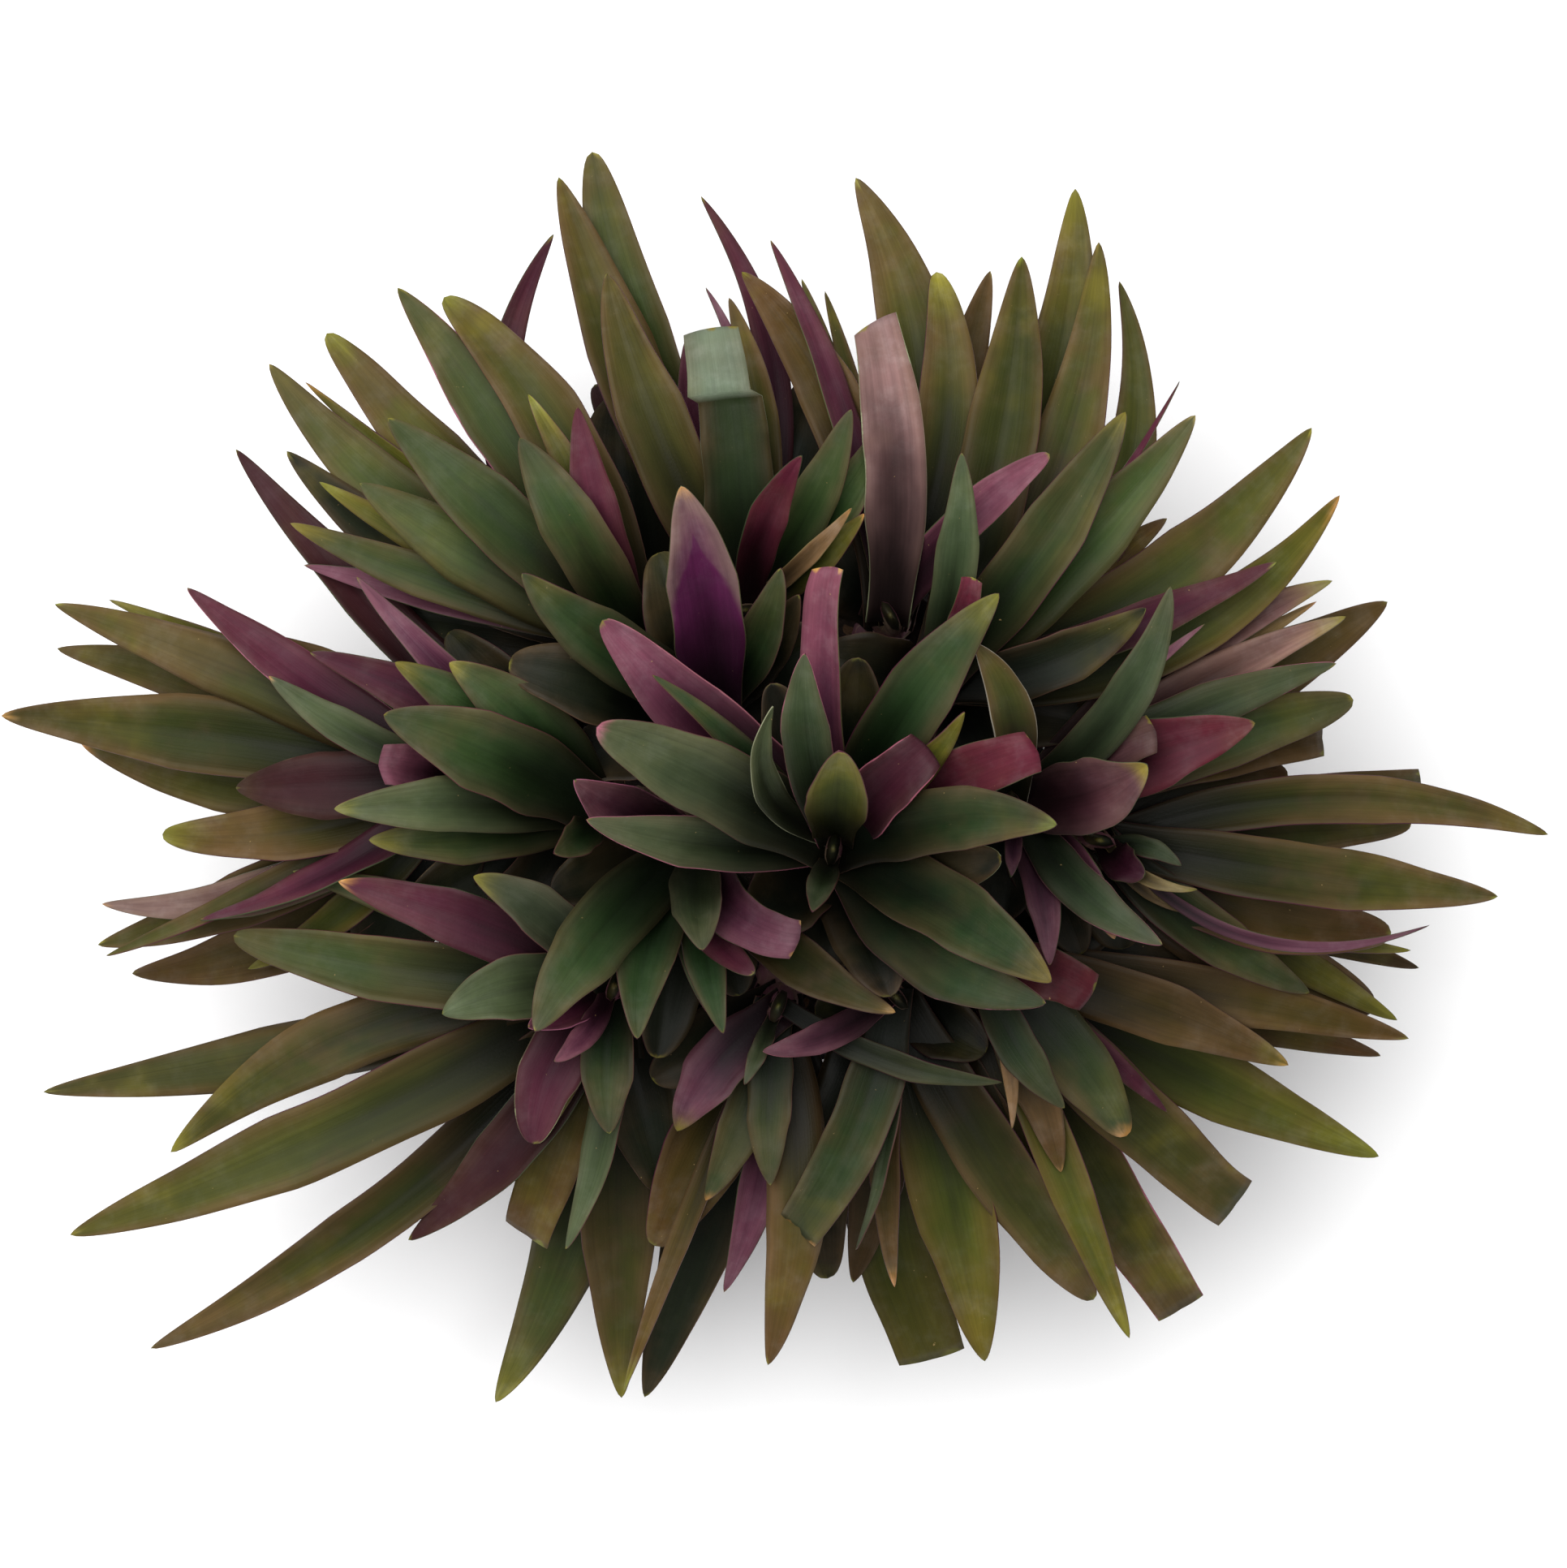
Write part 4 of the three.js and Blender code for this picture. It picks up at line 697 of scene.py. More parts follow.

# The look's digit: a coloured tip and how far it reaches down the leaf, or a bright rim, pink as the
# leaf's own margin or pale as a painted highlight along its edge.
TIPS = {"1": ("ripe_tip", 0.2), "2": ("dry_tip", 0.1), "5": ("pink_rim", 0.12)}
PLAIN_TIP = ("ripe_tip", 0.04)
RIMS = {"3": "pink_rim", "4": "pale_highlight_rim"}
BRIGHT_RIM = 0.9
PLAIN_RIM = 0.45  # at the most
STRIPE_SPREAD = (0.8, 1.0)  # from leaf to leaf, of the stripe's strength
REACH_SPREAD = (0.7, 1.3)  # and of the tip's reach

PAINTS = ("blade", "stripe", "tip", "rim", "back")


# ---------------------------------------------------------------------------------- leaf form


def outline(t, end):
    """Half of the blade's width along it, a share of the full half width."""
    rise = min(1, t / WIDE_FROM)
    lower = BASE_SHARE + (1 - BASE_SHARE) * rise * rise * (3 - 2 * rise)
    if t < NARROW_FROM:
        return lower
    left = max(0, (1 - t) / (1 - NARROW_FROM))
    if end == CUT:
        return lower * (CUT_SHARE + (1 - CUT_SHARE) * left)
    return lower * left ** (LANCE_POWER if end == LANCE else ROUND_POWER)


class Midrib:
    """The quadratic curve of a leaf's midrib, in millimetres."""

    def __init__(self, shoot, leaf, index, lift):
        crown = Vector((*shoot["crown"], 0))
        out = (Vector((leaf.x, leaf.y, 0)) - crown).normalized()
        lowest = shoot["low"] + FIRST_LEAF
        share = index / max(1, len(shoot["leaves"]) - 1)
        base = lowest + (shoot["high"] - LAST_LEAF - lowest) * share
        self.leaf = leaf
        self.root = crown + BASE_INSET * out + Vector((0, 0, base))
        self.tip = Vector((leaf.x, leaf.y, leaf.height + LIFT_STEP * lift))
        self.length = (self.tip - self.root).length
        arch = BLADE_ARCH * self.length + LIFT_STEP * LIFT_ARCH * lift
        middle = (self.root + self.tip) / 2
        side = Vector((-out.y, out.x, 0))
        self.control = middle + 2 * leaf.bow * side + Vector((0, 0, 2 * arch))

    def section(self, t, twist=0):
        """Centre, leftward and upward directions, half width and rise of the edges at t."""
        centre = (
            (1 - t) ** 2 * self.root + 2 * t * (1 - t) * self.control + t * t * self.tip
        )
        along = (1 - t) * (self.control - self.root) + t * (self.tip - self.control)
        along.normalize()
        left = Vector((-along.y, along.x, 0)).normalized()
        up = along.cross(left).normalized()
        turned = self.leaf.roll * min(1, t / NARROW_FROM) + twist * t * t
        turn = Quaternion(along, math.radians(turned))
        left.rotate(turn)
        up.rotate(turn)
        half = self.leaf.width / 2 * outline(t, self.leaf.end)
        if self.leaf.end == UNDER:
            broad = (self.leaf.x, self.leaf.y) in BROAD
            half *= BROAD_SPREAD if broad else UNDER_SPREAD
        rise = BLADE_CHANNEL * half * min(1, CHANNEL_START + CHANNEL_GROWTH * t)
        return centre, left, up, half, rise

    def end_points(self):
        """Corners that the frame's leaf has at its end."""
        if self.leaf.end != CUT:
            return [self.tip]
        centre, left, up, half, rise = self.section(1)
        return [centre + left * half + up * rise, centre - left * half + up * rise]


def node_tree(name):
    """The corners of a frame node, for looking up the nearest one, in millimetres."""
    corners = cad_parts[name].data.vertices
    tree = kdtree.KDTree(len(corners))
    for i, corner in enumerate(corners):
        tree.insert(corner.co / MM, i)
    tree.balance()
    return tree


def settled(shoot, leaf, index, tree):
    """The midrib at the lift that the leaf has in the frame."""
    tries = [
        Midrib(shoot, leaf, index, lift) for lift in range(-LIFT_MOST, LIFT_MOST + 1)
    ]
    return min(tries, key=lambda m: sum(tree.find(p)[2] for p in m.end_points()))


# --------------------------------------------------------------------------------- leaf meshes


def varied(colour, light, rng):
    """The colour at that lightness and a little shifted, as no two leaves are alike."""
    return tuple(c * light * (1 + rng.gauss(0, TINT_SPREAD)) for c in colour)


def outwards(x, y):
    """How far out a place lies: 0 near the middle of the clump and 1 at its rim."""
    return min(1, max(0, (math.hypot(x, y) - DARK_WITHIN) / (PALE_FROM - DARK_WITHIN)))


def lightness(leaf, rng):
    """Painted shade: leaves grow lighter from the middle of the clump outwards, and the clump's side
    away from the key light is darker.
    """
    share = outwards(leaf.x, leaf.y * SURFACE_OVAL)
    # painted shade: old is the share of darkening on the clump's side away from the key light
    old = 0
    if (leaf.x or leaf.y) and leaf.look[0] != AGEING:
        side = (leaf.x - leaf.y) / math.hypot(leaf.x, leaf.y)
        old = max(0, side - SHADED_SIDE_FROM) / SHADED_SIDE_SPAN
    light = INNER_LIGHT + (1 - INNER_LIGHT) * share
    light *= 1 - SHADED_SIDE_DARK * old * (1 - SHADED_SIDE_FADE * share)
    return LEAF_LIGHT * light * math.exp(rng.gauss(0, LIGHT_SPREAD))


def ripeness(leaf):
    """Green leaves turn towards olive from the middle of the clump outwards."""
    if leaf.look[0] != TURNING:
        return 0
    return RIPE_MOST * outwards(leaf.x, leaf.y)


def mixed(colours, one, other, share):
    """The first named colour with that share of the other."""
    pair = zip(getattr(colours, one), getattr(colours, other))
    return tuple(a + (b - a) * share for a, b in pair)


def leaf_paints(leaf, colours, rng):
    """The five colours that a leaf's finish is mixed from, each with one number of its own."""
    letter, digit = leaf.look
    blade, stripe, back, cast, strength = LOOKS[letter]
    tip, reach = TIPS.get(digit, PLAIN_TIP)
    rim = RIMS.get(digit, "rim")
    if leaf.end == CUT:
        reach = 0
    # lightness, with painted shade by the leaf's place in the clump
    light = lightness(leaf, rng)
    ripe = ripeness(leaf)
    values = {
        "blade": (mixed(colours, blade, "olive", ripe), rng.random()),
        "stripe": (
            mixed(colours, stripe, "olive_stripe", ripe), strength * rng.uniform(*STRIPE_SPREAD)
        ),
        "tip": (getattr(colours, tip), reach * rng.uniform(*REACH_SPREAD)),
        "rim": (getattr(colours, rim), BRIGHT_RIM if digit in RIMS else rng.uniform(0, PLAIN_RIM)),
        "back": (getattr(colours, back), cast),
    }
    return {
        key: (*varied(value, light, rng), extra) for key, (value, extra) in values.items()
    }


def new_sheet(name):
    """An empty mesh with the layers that leaves and stems use."""
    bm = bmesh.new()
    bm.loops.layers.uv.new("leaf")
    bm.verts.layers.deform.new("thickness")
    for key in PAINTS:
        bm.verts.layers.float_color.new(key)
    return bm


def paint(bm, vert, paints):
    """Gives the corner its five colours."""
    for key in PAINTS:
        vert[bm.verts.layers.float_color[key]] = paints[key]


def grow_leaf(bm, midrib, paints, sizes, rng):
    """One leaf: a grid bent along its midrib, narrowed to its outline and channelled."""
    leaf = midrib.leaf
    folded = {**paints, "blade": paints["back"], "stripe": paints["back"]}
    made = bmesh.ops.create_grid(
        bm, x_segments=sizes.cells_across, y_segments=sizes.cells_along, size=1, calc_uvs=True
    )
    weight = bm.verts.layers.deform.active
    waves = rng.uniform(*EDGE_WAVES)
    phase = [rng.uniform(0, 2 * math.pi) for _ in range(2)]
    shift = rng.uniform(0, 100)
    cup = rng.uniform(*CUP)
    slant = rng.uniform(-END_SLANT, END_SLANT)
    twist = rng.gauss(0, TWIST)
    curl = [rng.uniform(*EDGE_CURL) for _ in range(2)]
    if (leaf.x, leaf.y) in PRESSED:
        cup = PRESSED_CUP
        curl = [PRESSED_CURL] * 2
    rows = {}
    end_row = []
    for vert in made["verts"]:
        u = -vert.co.x
        s = (vert.co.y + 1) / 2
        t = s if leaf.end == CUT else 1 - (1 - s) ** TIP_CROWDING
        if t not in rows:
            rows[t] = midrib.section(t, twist)
        centre, left, up, half, rise = rows[t]
        side = int(u > 0)
        wobble = noise.noise(Vector((t * WOBBLES, shift, side * SIDES_APART))) * sizes.outline_wobble
        across = half * u * (1 + 2 * wobble * abs(u))
        wave = math.sin(2 * math.pi * waves * t + phase[side]) * 4 * t * (1 - t)
        lift = rise * cup * abs(u) ** CUP_POWER + sizes.edge_wave / MM * wave * u * u
        lift += curl[side] * half * u**4 * math.sin(math.pi * t) ** 2
        clasp = CLASP * half * u * u * max(0, 1 - t / CLASP_TO) ** 2
        along = left.cross(up)
        place = centre + left * across + up * (lift + clasp)
        place -= along * ROOT_DEPTH * max(0, 1 - t / ROOT_TO) ** 2
        if leaf.end == CUT:
            place += along * (slant * across - END_ROUNDING * half * u * u) * t**END_REACH
            place -= up * END_DROOP * half * max(0, (t - DROOP_FROM) / (1 - DROOP_FROM)) ** 2
        thinning = EDGE_THINNING * abs(u) ** EDGE_THINNING_POWER
        vert[weight][0] = max(THINNEST, 1 - thinning - TIP_THINNING * t)
        over = leaf.look[0] == FOLDED and t > FOLD_FROM
        if over:
            place += left * FOLD_SHIFT[0] + up * FOLD_SHIFT[1]
        paint(bm, vert, folded if over else paints)
        vert.co = place * MM
        if s > LAST:
            end_row.append(vert)
    if leaf.end != CUT:
        bmesh.ops.remove_doubles(bm, verts=end_row, dist=MERGE)


def stem_point(shoot, s):
    """A point of a stem's middle line, its direction and its radius, s running from 0 to 1."""
    root = Vector((*shoot["root"], 0))
    crown = Vector((*shoot["crown"], 0))
    foot = root + Vector((0, 0, SOIL_LEVEL - STEM_DEPTH))
    start = root + Vector((0, 0, SOIL_LEVEL + STEM_CLEAR))
    knee = root.lerp(crown, KNEE_SHARE) + Vector((0, 0, shoot["low"] - KNEE_DROP))
    bottom = crown + Vector((0, 0, shoot["low"]))
    top = crown + Vector((0, 0, shoot["high"]))
    tip = top + Vector((0, 0, SPEAR))
    upright = Vector((0, 0, 1))
    if s < BEND_FROM:
        return foot.lerp(start, s / BEND_FROM), upright, STEM_RADIUS
    if s > SPEAR_FROM:
        share = (s - SPEAR_FROM) / (1 - SPEAR_FROM)
        radius = CROWN_TOP_RADIUS + (SPEAR_TIP_RADIUS - CROWN_TOP_RADIUS) * share
        return top.lerp(tip, share), upright, radius
    if s > CROWN_FROM:
        share = (s - CROWN_FROM) / (SPEAR_FROM - CROWN_FROM)
        radius = CROWN_RADIUS + (CROWN_TOP_RADIUS - CROWN_RADIUS) * share
        return bottom.lerp(top, share), upright, radius
    t = (s - BEND_FROM) / (CROWN_FROM - BEND_FROM)
    place = (1 - t) ** 2 * start + 2 * t * (1 - t) * knee + t * t * bottom
    along = (1 - t) * (knee - start) + t * (bottom - knee)
    return place, along.normalized(), STEM_RADIUS + (CROWN_RADIUS - STEM_RADIUS) * t


def grow_stem(bm, shoot, paints, rng):
    """One stem: a grid rolled round its middle line, stepped where old leaves' sheaths end, and
    folded at its top into a young leaf that is still rolled up."""
    made = bmesh.ops.create_grid(
        bm, x_segments=STEM_COLUMNS, y_segments=STEM_ROWS, size=1, calc_uvs=True
    )
    weight = bm.verts.layers.deform.active
    step = rng.uniform(*SHEATH_STEPS)
    shift = rng.uniform(0, 100)
    spin = rng.uniform(0, math.pi)
    seam = []
    ends = [[], []]
    for vert in made["verts"]:
        angle = math.pi * vert.co.x
        s = (vert.co.y + 1) / 2
        place, along, radius = stem_point(shoot, s)
        across = (Vector((1, 0, 0)) - along * along.x).normalized()
        side = along.cross(across)
        ragged = noise.noise(Vector((math.cos(angle), math.sin(angle), shift + s * SHEATH_CHANGE)))
        sheath = (s / step + SHEATH_RAGGED * ragged) % 1
        fresh = max(0, (s - SPEAR_FROM) / (1 - SPEAR_FROM))
        grown = radius - SHEATH_INSET + (0 if fresh else SHEATH_RISE * sheath * sheath)
        slim = min(1, max(0, (s - CROWN_FROM) / (SPEAR_FROM - CROWN_FROM)))
        flat = 1 - SPEAR_FLATNESS * slim
        narrow = math.hypot(math.cos(angle + spin), math.sin(angle + spin) / flat)
        grown *= (1 - SPEAR_SLIMMING * slim) / narrow
        if abs(vert.co.x) > LAST:
            seam.append(vert)
        if s < 1 - LAST or s > LAST:
            ends[int(s > 0.5)].append(vert)
            grown = 0
        vert[weight][0] = 1
        # painted shade: the stem's paints are darkened, less so up the spear towards its tip
        light = STEM_SHADED_LIGHT + SPEAR_SHADE_LIFT * fresh
        paint(bm, vert, {k: (*(c * light for c in v[:3]), v[3]) for k, v in paints.items()})
        turned = across * math.cos(angle) + side * math.sin(angle)
        vert.co = (place + turned * grown) * MM
        for face in vert.link_faces:
            face.material_index = 0 if s > SPEAR_FROM else 2
    bmesh.ops.remove_doubles(bm, verts=seam, dist=MERGE)
    for end in ends:
        bmesh.ops.remove_doubles(bm, verts=[v for v in end if v.is_valid], dist=MERGE)


def piece_from(bm, name, materials):
    """Makes the mesh an object of the scene with those materials, smooth, and frees it."""
    mesh = bpy.data.meshes.new(name)
    for face in bm.faces:
        face.smooth = True
    bm.to_mesh(mesh)
    bm.free()
    for material in materials:
        mesh.materials.append(material)
    piece = bpy.data.objects.new(name, mesh)
    bpy.context.scene.collection.objects.link(piece)
    return piece


def hand_over(piece, node):
    """Puts the piece on its body, in place of that node."""
    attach(piece, BODY)
    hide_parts(node)


def grow_shoot(name, shoot, sizes, colours, materials):
    """A shoot's stem and leaves in one piece, given their thickness by a Solidify."""
    rng = random.Random(name)
    tree = node_tree(name)
    bm = new_sheet(name)
    for index, leaf in enumerate(shoot["leaves"]):
        paints = leaf_paints(leaf, colours, rng)
        grow_leaf(bm, settled(shoot, leaf, index, tree), paints, sizes, rng)
    grow_stem(bm, shoot, leaf_paints(SPEAR_LEAF, colours, rng), rng)
    piece = piece_from(bm, name + "_leaves", materials)
    piece.vertex_groups.new(name="thickness")
    solid = piece.modifiers.new("thickness", "SOLIDIFY")
    solid.thickness = sizes.blade_thickness
    solid.offset = 0
    solid.vertex_group = "thickness"
    solid.thickness_vertex_group = SOLID_LEAST
    solid.material_offset = 1
    solid.material_offset_rim = 1
    hand_over(piece, name)


# ------------------------------------------------------------------------------ pot and soil


def wall_radius(z):
    """Radius of the pot's outer wall at that height."""
    top = POT_RIM_RADIUS - POT_RIM_BAND
    return POT_FOOT_RADIUS + (top - POT_FOOT_RADIUS) * z / POT_HEIGHT


def inner_radius(z):
    """Radius of its inner wall there."""
    return wall_radius(z) - POT_WALL


def spun(profile, steps):
    """The closed shape that a profile of radius and height makes round the Z axis."""
    bm = bmesh.new()
    corners = [bm.verts.new((r * MM, 0, z * MM)) for r, z in profile]
    edges = [bm.edges.new(pair) for pair in zip(corners, corners[1:])]
    bmesh.ops.spin(
        bm, geom=corners + edges, axis=(0, 0, 1), cent=(0, 0, 0), angle=2 * math.pi,
        steps=steps, use_merge=True,
    )
    bmesh.ops.remove_doubles(bm, verts=bm.verts, dist=MERGE)
    bmesh.ops.recalc_face_normals(bm, faces=bm.faces)
    return bm


def applied(piece):
    """Replaces the piece's mesh by what its modifiers make of it."""
    made = bpy.data.meshes.new_from_object(
        piece.evaluated_get(bpy.context.evaluated_depsgraph_get())
    )
    piece.modifiers.clear()
    piece.data = made


def mould_pot(materials):
    """A spun shell with a rim, drilled for the drain holes, its edges rounded."""
    under = POT_HEIGHT - POT_RIM_HEIGHT
    profile = [
        (0, 0),
        (POT_FOOT_RADIUS, 0),
        (wall_radius(under), under),
        (POT_RIM_RADIUS, under + POT_RIM_SLANT),
        (POT_RIM_RADIUS, POT_HEIGHT),
        (POT_RIM_RADIUS - POT_LIP, POT_HEIGHT),
        (inner_radius(under), under),
        (inner_radius(POT_FLOOR), POT_FLOOR),
        (0, POT_FLOOR),
    ]
    pot = piece_from(spun(profile, POT_STEPS), "pot_shell", materials)
    cutter = bmesh.new()
    for i in range(DRAIN_COUNT):
        angle = 2 * math.pi * (i + 0.5) / DRAIN_COUNT
        place = Vector((DRAIN_CIRCLE * math.cos(angle), DRAIN_CIRCLE * math.sin(angle), 0))
        bmesh.ops.create_cone(
            cutter, cap_ends=True, segments=DRAIN_SIDES, radius1=DRAIN_RADIUS * MM,
            radius2=DRAIN_RADIUS * MM, depth=4 * POT_FLOOR * MM,
            matrix=Matrix.Translation(place * MM),
        )
    tool = piece_from(cutter, "drain_tool", materials)
    holes = pot.modifiers.new("holes", "BOOLEAN")
    holes.object = tool
    holes.solver = "EXACT"
    applied(pot)
    bpy.data.objects.remove(tool)
    bevel = pot.modifiers.new("edges", "BEVEL")
    bevel.width = POT_EDGE * MM
    bevel.segments = 3
    bevel.limit_method = "ANGLE"
    bevel.angle_limit = SHARP
    hand_over(pot, "pot")


def fill_soil(sizes, materials):
    """A domed filling with a crumbly top, and loose crumbs on it."""
    rng = random.Random("soil")
    foot = POT_FLOOR + SOIL_GAP
    knee = POT_FLOOR + SOIL_CHAMFER
    edge = SOIL_LEVEL - SOIL_SHOULDER
    reach = inner_radius(edge) - WALL_GAP - SHOULDER_WIDTH
    profile = [
        (0, foot),
        (inner_radius(POT_FLOOR) - WALL_GAP - SOIL_CHAMFER, foot),
        (inner_radius(knee) - WALL_GAP, knee),
        (inner_radius(edge) - WALL_GAP, edge),
    ]
    for i in range(SOIL_RINGS + 1):
        share = 1 - i / SOIL_RINGS
        profile.append((reach * share, soil_height(reach * share)))
    bm = spun(profile, SOIL_STEPS)
    for vert in bm.verts:
        if vert.co.z > edge * MM + MM:
            vert.co.z += SOIL_ROUGHNESS * MM * noise.fractal(vert.co * SOIL_LUMPS, 1, 2, 4)
    for _ in range(sizes.soil_crumbs):
        radius = reach * math.sqrt(rng.random()) * CRUMB_REACH
        angle = rng.uniform(0, 2 * math.pi)
        size = rng.uniform(*CRUMB_SIZES)
        place = Vector((radius * math.cos(angle), radius * math.sin(angle), 0))
        place.z = soil_height(radius) + size * CRUMB_REST
        turn = Matrix.Rotation(rng.uniform(0, 6), 4, (rng.random(), rng.random(), 1))
        squash = Matrix.Diagonal((1, rng.uniform(0.4, 0.9), rng.uniform(0.3, 0.7), 1))
        bmesh.ops.create_icosphere(
            bm, subdivisions=1, radius=size * MM,
            matrix=Matrix.Translation(place * MM) @ turn @ squash,
        )
    hand_over(piece_from(bm, "soil_mix", materials), "soil")


def soil_height(radius):
    """Height of the soil's dome that far from its middle."""
    return SOIL_LEVEL + SOIL_DOME * (1 - radius / DOME_RADIUS)


# ---------------------------------------------------------------------------------- finishes


class Finish:
    """A material's node tree, built node by node."""

    def __init__(self, name):
        self.material = bpy.data.materials.new(name)
        self.material.use_nodes = True
        self.nodes = self.material.node_tree.nodes
        self.links = self.material.node_tree.links
        self.surface = self.nodes["Principled BSDF"]

    def node(self, kind, inputs=(), **settings):
        """A node with its settings, and its inputs set or linked in order; None leaves one out."""
        made = self.nodes.new(kind)
        for key, value in settings.items():
            setattr(made, key, value)
        for socket, value in zip(made.inputs, inputs):
            self.feed(socket, value)
        return made

    def feed(self, socket, value):
        if value is None:
            return
        if isinstance(value, bpy.types.NodeSocket):
            self.links.new(value, socket)
        else:
            socket.default_value = value

    def math(self, operation, *values):
        return self.node("ShaderNodeMath", values, operation=operation).outputs[0]

    def ramp(self, value, low, high, out_low=0.0, out_high=1.0):
        """The value's smooth step from low to high."""
        inputs = (value, low, high, out_low, out_high)
        made = self.node("ShaderNodeMapRange", inputs, interpolation_type="SMOOTHSTEP")
        return made.outputs[0]

    def mix(self, factor, one, other, blend="MIX"):
        made = self.node("ShaderNodeMix", data_type="RGBA", blend_type=blend)
        self.feed(made.inputs["Factor"], factor)
        self.feed(made.inputs[6], one)
        self.feed(made.inputs[7], other)
        return made.outputs[2]

    def noise(self, vector, scale, detail=2.0, roughness=0.5):
        made = self.node("ShaderNodeTexNoise", (vector, None, scale, detail, roughness))
        return made.outputs["Fac"]

    def dimmed(self, colour, share):
        """The colour at that share of its lightness."""
        grey = self.node("ShaderNodeCombineColor", (share, share, share)).outputs[0]
        return self.mix(1.0, colour, grey, "MULTIPLY")

    def paint(self, name):
        """A painted layer's colour and its extra number."""
        made = self.node("ShaderNodeAttribute", attribute_name=name)
        return made.outputs["Color"], made.outputs["Alpha"]

    def scaled(self, vector, scale):
        made = self.node("ShaderNodeMapping", (vector,))
        made.inputs["Scale"].default_value = scale
        return made.outputs[0]

    def place(self):
        return self.node("ShaderNodeTexCoord").outputs["Object"]

    def coated(self, colour, roughness, height, distance, strength=0.6):
        """The material, with its surface's colour, roughness and relief set."""
        bump = self.node("ShaderNodeBump")
        bump.inputs["Strength"].default_value = strength
        bump.inputs["Distance"].default_value = distance
        self.feed(bump.inputs["Height"], height)
        self.feed(self.surface.inputs["Base Color"], colour)
        self.feed(self.surface.inputs["Roughness"], roughness)
        self.feed(self.surface.inputs["Normal"], bump.outputs[0])
        return self.material


def leaf_grain(finish):
    """What both sides of a leaf share: place across and along, blotches and parallel lines."""
    uv = finish.node("ShaderNodeUVMap", uv_map="leaf").outputs[0]
    x, y, _ = finish.node("ShaderNodeSeparateXYZ", (uv,)).outputs
    _, seed = finish.paint("blade")
    shift = finish.math("MULTIPLY", seed, 57.0)
    own = finish.node("ShaderNodeCombineXYZ", (x, y, shift)).outputs[0]
    blotch = finish.noise(finish.scaled(own, (1.6, 3.2, 1)), 1.0, 3.0, 0.55)
    lines = finish.noise(finish.scaled(own, (17, 1.1, 1)), 1.0, 4.0, 0.7)
    across = finish.math("ABSOLUTE", finish.math("MULTIPLY_ADD", x, 2.0, -1.0))
    bent = finish.math("ADD", across, finish.math("MULTIPLY_ADD", blotch, 0.7, -0.35))
    return y, across, bent, blotch, lines


def depth_shade(finish):
    """Painted shade by depth: parts far under the clump's outer surface are the darkest."""
    x, y, z = finish.node("ShaderNodeSeparateXYZ", (finish.place(),)).outputs
    wide = finish.math("MULTIPLY", y, SURFACE_OVAL)
    flat = finish.node("ShaderNodeCombineXYZ", (x, wide, 0.0)).outputs[0]
    reach = finish.node("ShaderNodeVectorMath", (flat,), operation="LENGTH").outputs["Value"]
    top = finish.math("MULTIPLY_ADD", reach, -SURFACE_SLOPE, SURFACE_TOP * MM)
    depth = finish.math("SUBTRACT", top, z)
    return finish.ramp(depth, DEPTH_SHADE_FROM * MM, DEPTH_SHADE_TO * MM, 1.0, DEPTH_SHADE_DARK)


